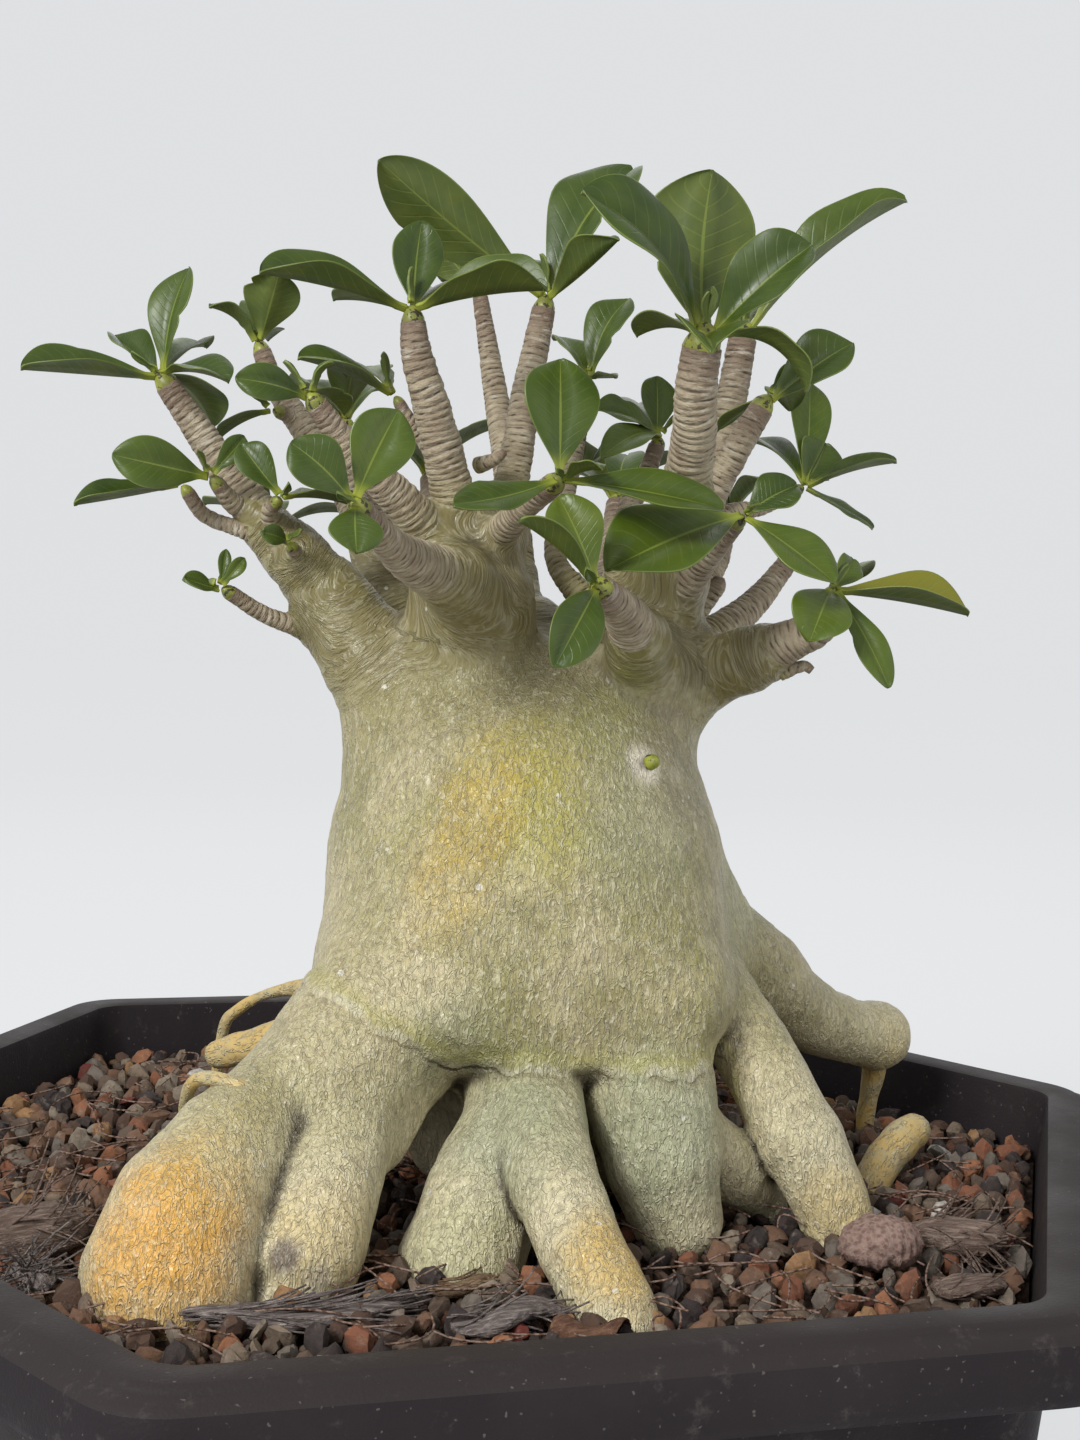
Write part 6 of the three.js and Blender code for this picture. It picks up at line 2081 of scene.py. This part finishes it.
@dataclass
class Bit:
    """A loose bit on the gravel: a body with ragged fibres."""

    node: str
    shape: Shape
    dress: Dress
    place: tuple[float, float]
    size: tuple[float, float, float]
    turn: float
    fibres: int = 40
    seed: int = 1
    fibre_radius: float = 0.00022
    rest: float = 1.6

    def frame(self, places: Array) -> Array:
        """Turn and move places from the bit's own axes to where it lies.

        Args:
            places: The places, with the bit's length along X.

        Returns:
            The places in the pot's frame.
        """
        angle = math.radians(self.turn)
        x = places[:, 0] * math.cos(angle) - places[:, 1] * math.sin(angle) + self.place[0]
        y = places[:, 0] * math.sin(angle) + places[:, 1] * math.cos(angle) + self.place[1]
        base = Gravel().level(np.array(self.place[0]), np.array(self.place[1]))
        return np.column_stack([x, y, places[:, 2] + base + self.rest])

    def body(self) -> Shell:
        """Shape the body.

        Returns:
            The body's shell.
        """
        length, width, height = self.size
        rings, sides = 30, 28
        t = np.linspace(0.02, 0.98, rings)[:, None]
        angles = circle(sides)[None, :]
        x = np.broadcast_to((t - 0.5) * length, (rings, sides))
        power = {Shape.LUMP: 0.5, Shape.CHUNK: 0.28, Shape.STRIP: 0.45, Shape.FAN: 0.35, Shape.LEAF: 0.6,
                 Shape.TUFT: 0.5}[self.shape]
        taper = np.sin(math.pi * t) ** power
        y = 0.5 * width * taper * np.sign(np.cos(angles)) * np.abs(np.cos(angles)) ** 0.8
        z = 0.5 * height * taper * np.sin(angles) + 0.42 * height
        if self.shape is Shape.FAN:
            y = y * (0.45 + 0.9 * t)
            z = z + height * 0.25 * np.cos(y / width * 3.0) * t
        if self.shape is Shape.LEAF:
            z = 0.18 * height * taper * np.sin(angles) + 0.35 * height
            z = z + 0.45 * height * np.sin(y / width * 5.0 + t * 4.0) + 0.3 * height * np.sin(t * 9)
        if self.shape is Shape.STRIP:
            y = y + 0.3 * width * np.sin(t * 5.0 + self.seed)
            z = z + 0.25 * height * np.sin(t * 7.0 + self.seed)
        own = np.stack(np.broadcast_arrays(x, y, z), axis=-1).reshape(-1, 3)
        grain = (5.0, 1.4, 1.4) if self.shape is not Shape.LUMP else (1.8, 1.8, 1.8)
        rough = {Shape.LUMP: 0.95, Shape.CHUNK: 0.8, Shape.LEAF: 0.25}.get(self.shape, 0.55)
        push = fractal(own, grain, 3, self.seed * 3.1)
        middle = np.array([0, 0, 0.42 * height])
        outward = unit((own - middle) * [0.3, 1, 1])
        own = own + rough * push[:, None] * outward * min(1.0, height / 5)
        places, faces = lofted(own.reshape(rings, sides, 3))
        return Shell(self.frame(places), faces, {"flow": places * MM}).outward()

    def threads(self) -> list[Array]:
        """Draw the fibres.

        Returns:
            The points of each fibre.
        """
        generator = np.random.default_rng(self.seed)
        length, width, height = self.size
        lines, t = [], np.linspace(0, 1, 9)
        for _ in range(self.fibres):
            reach = length * generator.uniform(0.35, 0.62)
            start = generator.uniform(-0.5, 0.1) * length
            offset = generator.uniform(-0.5, 0.5, 2) * [width * 0.85, height * 0.8]
            spread = generator.normal(0, 1, 2) * [0.16 * width, 0.18 * height]
            x = start + reach * t
            y = offset[0] + spread[0] * (2 * t) ** 2 + 0.04 * width * np.sin(5 * t + generator.uniform(0, 6))
            z = 0.45 * height + offset[1] + spread[1] * (2 * t) ** 2
            if self.shape is Shape.FAN:
                y = y * (0.45 + 1.1 * (x / length + 0.5))
            if self.shape is Shape.TUFT:
                y = y + generator.normal(0, 0.5) * width * t ** 2
                z = z + abs(generator.normal(0, 0.6)) * height * t
            lines.append(self.frame(np.column_stack([x, y, np.clip(z, -0.5, None)])))
        return lines

    def make(self, tree: Tree) -> bpy.types.Object:
        """Build and dress the bit.

        Args:
            tree: The tree that gives threads their thickness.

        Returns:
            The piece.
        """
        piece = self.body().build(self.node.replace("husk", "dry_husk") + "_dressed", self.dress.material)
        if self.fibres:
            piece = merged(piece, threaded(tree, self.threads(), self.fibre_radius, self.dress))
        return settle(piece, self.node)


def merged(piece: bpy.types.Object, extra: bpy.types.Mesh) -> bpy.types.Object:
    """Add a mesh's faces to a piece, keeping the flow attribute.

    Args:
        piece: The piece, which is replaced.
        extra: The mesh.

    Returns:
        The new piece.
    """
    mesh = piece.data
    count, more = len(mesh.vertices), len(extra.vertices)
    places = np.zeros((count + more) * 3, np.float32)
    mesh.vertices.foreach_get("co", places[:count * 3])
    extra.vertices.foreach_get("co", places[count * 3:])
    flow = np.zeros(count * 3, np.float32)
    mesh.attributes["flow"].data.foreach_get("vector", flow)
    faces = [tuple(polygon.vertices) for polygon in mesh.polygons]
    faces += [tuple(corner + count for corner in polygon.vertices) for polygon in extra.polygons]
    flows = np.concatenate([flow.reshape(-1, 3), places.reshape(-1, 3)[count:]])
    shell = Shell(places.reshape(-1, 3) / MM, faces, {"flow": flows})
    name = piece.name
    materials = list(mesh.materials)
    bpy.data.objects.remove(piece)
    return shell.build(name, *materials)


def thread_tree() -> Tree:
    """Build the tree that turns polylines into thin threads.

    Returns:
        The tree.
    """
    tree = Tree("Threads", {"Radius": ("NodeSocketFloat", 0.0002), "Material": ("NodeSocketMaterial", None)})
    take = tree.nodes.take
    curve = take("GeometryNodeMeshToCurve", {0: tree.given["Geometry"]})
    round_profile = take("GeometryNodeCurvePrimitiveCircle", {"Resolution": 4, "Radius": tree.given["Radius"]})
    return tree.end(take("GeometryNodeCurveToMesh", {"Curve": curve, "Profile Curve": round_profile,
                                                     "Fill Caps": True}))


def threaded(tree: Tree, lines: Sequence[Array], radius: float, dress: Dress) -> bpy.types.Mesh:
    """Turn lines into threads.

    Args:
        tree: The tree that gives threads their thickness.
        lines: The points of each line, in millimetres.
        radius: The threads' radius, in metres.
        dress: Their finish.

    Returns:
        The threads' mesh.
    """
    mesh, starts = bpy.data.meshes.new("threads"), np.cumsum([0, *[len(line) for line in lines]]).tolist()
    edges = [(point, point + 1) for start, end in zip(starts, starts[1:]) for point in range(start, end - 1)]
    mesh.from_pydata((np.vstack(lines) * MM).tolist(), edges, [])
    bare = placed("threads", mesh)
    grown = tree.run(bare, Radius=radius, Material=dress.material)
    bpy.data.objects.remove(bare)
    return grown


def loose_bits() -> list[Bit]:
    """List what lies on the gravel.

    Returns:
        The bits.
    """
    return [
        Bit("husk_chunk_left", Shape.CHUNK, Dress.HUSK, (-101, -41), (24, 14, 11), 12, 60, 31),
        Bit("husk_tuft_left", Shape.TUFT, Dress.GREY_HUSK, (-101, -60), (15, 8, 5), -60, 90, 32),
        Bit("husk_strip_left", Shape.STRIP, Dress.GREY_HUSK, (-52, -88), (44, 7, 3.2), -4, 110, 33),
        Bit("husk_strip_middle", Shape.STRIP, Dress.WOODY, (-17, -80), (18, 4, 2.6), 5, 24, 34),
        Bit("husk_strip_front", Shape.STRIP, Dress.GREY_HUSK, (-11, -98), (26, 8, 3.6), 4, 36, 35),
        Bit("husk_fan_right", Shape.FAN, Dress.HUSK, (94, -77), (22, 11, 8), -30, 90, 36),
        Bit("bark_chip_right", Shape.CHUNK, Dress.HUSK, (86, -99), (17, 9, 4), 6, 12, 37),
        Bit("soil_lump_right", Shape.LUMP, Dress.CRUMB, (75, -80), (19, 15, 11), 0, 0, 38),
        Bit("dry_leaf_front", Shape.LEAF, Dress.DEAD_LEAF, (2, -108), (17, 10, 4), 10, 0, 39),
    ]


# ---- Studio ----


@dataclass
class Studio:
    """The pale floor, the soft lights and the camera."""

    eye: tuple[float, float, float] = (-100.9, -443.9, 219.9)
    target: tuple[float, float, float] = (17.24, 0.0, 192.39)
    roll: float = 1.6945
    lens: float = 47.147
    sensor: float = 36.0
    aim: tuple[float, float, float] = (0.0, 0.0, 0.17)

    def camera(self) -> None:
        """Place the camera at the photograph's angle."""
        eye, target = Vector(self.eye), Vector(self.target)
        forward = (target - eye).normalized()
        right = forward.cross(Vector((0, 0, 1))).normalized()
        up = right.cross(forward)
        c, s = math.cos(math.radians(self.roll)), math.sin(math.radians(self.roll))
        right, up = c * right + s * up, c * up - s * right
        data = bpy.data.cameras.new("camera")
        data.lens, data.sensor_width, data.clip_start = self.lens, self.sensor, 0.01
        camera = placed("camera", data)
        rotation = Matrix((right, up, -forward)).transposed().to_4x4()
        camera.matrix_world = Matrix.Translation(eye * MM) @ rotation
        bpy.context.scene.camera = camera

    def light(self, name: str, place: Sequence[float], size: float, power: float) -> None:
        """Hang a soft square light that points at the plant.

        Args:
            name: Its name.
            place: Where it hangs, in metres.
            size: Its side, in metres.
            power: Its power, in watts.
        """
        data = bpy.data.lights.new(name, "AREA")
        data.size, data.energy = size, power
        direction = Vector(self.aim) - Vector(place)
        placed(name, data).matrix_world = (Matrix.Translation(place)
                                           @ direction.to_track_quat("-Z", "Y").to_matrix().to_4x4())

    def backdrop(self) -> None:
        """Lay a pale floor that curves up into a wall far away on every side."""
        sides = 64
        profile = [(0.0, 0.0), (1.5, 0.0), (3.0, 0.0), (3.6, 0.08), (4.2, 0.35), (4.7, 0.8), (5.0, 1.4), (5.1, 2.4)]
        places = [(0.0, 0.0, 0.0)]
        for reach, rise in profile[1:]:
            places += [(reach * math.cos(turn), reach * math.sin(turn), rise) for turn in circle(sides).tolist()]
        faces = [(0, 1 + side, 1 + (side + 1) % sides) for side in range(sides)]
        faces += [face[::-1] for face in ring_faces(len(profile) - 1, sides, 1)]
        mesh = bpy.data.meshes.new("floor")
        mesh.from_pydata(places, [], faces)
        mesh.shade_smooth()
        material = bpy.data.materials.new("Pale floor")
        material.use_nodes = True
        sockets = {"Base Color": (0.15, 0.15, 0.15, 1), "Emission Color": (0.745, 0.76, 0.776, 1),
                   "Emission Strength": 0.85, "Roughness": 0.9, "Specular IOR Level": 0.1}
        for name, value in sockets.items():
            material.node_tree.nodes["Principled BSDF"].inputs[name].default_value = value
        mesh.materials.append(material)
        placed("floor", mesh)

    def make(self) -> None:
        """Set up the studio."""
        self.camera()
        self.backdrop()
        self.light("key", (-0.95, -0.80, 1.00), 0.4, 21.0)
        self.light("fill", (0.9, -1.1, 0.6), 1.0, 2.5)
        self.light("rim", (0.3, 1.1, 1.0), 1.0, 3.0)
        world = bpy.data.worlds.new("studio")
        world.use_nodes = True
        sky = world.node_tree.nodes["Background"].inputs
        sky["Color"].default_value, sky["Strength"].default_value = (0.90, 0.91, 0.93, 1), 0.6
        bpy.context.scene.world = world
        bpy.context.scene.view_settings.view_transform = "Standard"


def main() -> None:
    """Build every piece in order and report it."""
    logging.basicConfig(level=logging.INFO, format="%(message)s")
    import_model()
    Studio().make()
    Pot().make()
    Gravel().make()
    Wood().make()
    Twigs().make()
    Rootlets().make()
    generator = np.random.default_rng(LEAF_SEED)
    for name, (twig, leaves) in SHOOTS.items():
        yellow = 0 if name == "rosette_right_tip" else -1
        Rosette(name, np.array(twig, float), leaves, generator, yellow=yellow).make()
    bud = Rosette("side_bud", np.array(BUD, float), [], generator)
    base, tip = bud.twig
    bud_shell = bud.stub(tip, unit(tip[:3] - base[:3]), tip[3])
    settle(bud_shell.build(bud.name, Dress.LEAF.material, Dress.SHOOT.material), "trunk")
    draw = random_stream(WHORL_SEED)
    for name, (twig, whorl) in BACK_SHOOTS.items():
        Rosette(name, np.array(twig, float), hidden_whorl(*whorl, draw), generator).make()
    tree = thread_tree()
    Gravel().litter(tree)
    for bit in loose_bits():
        bit.make(tree)


if __name__ == "__main__":
    main()
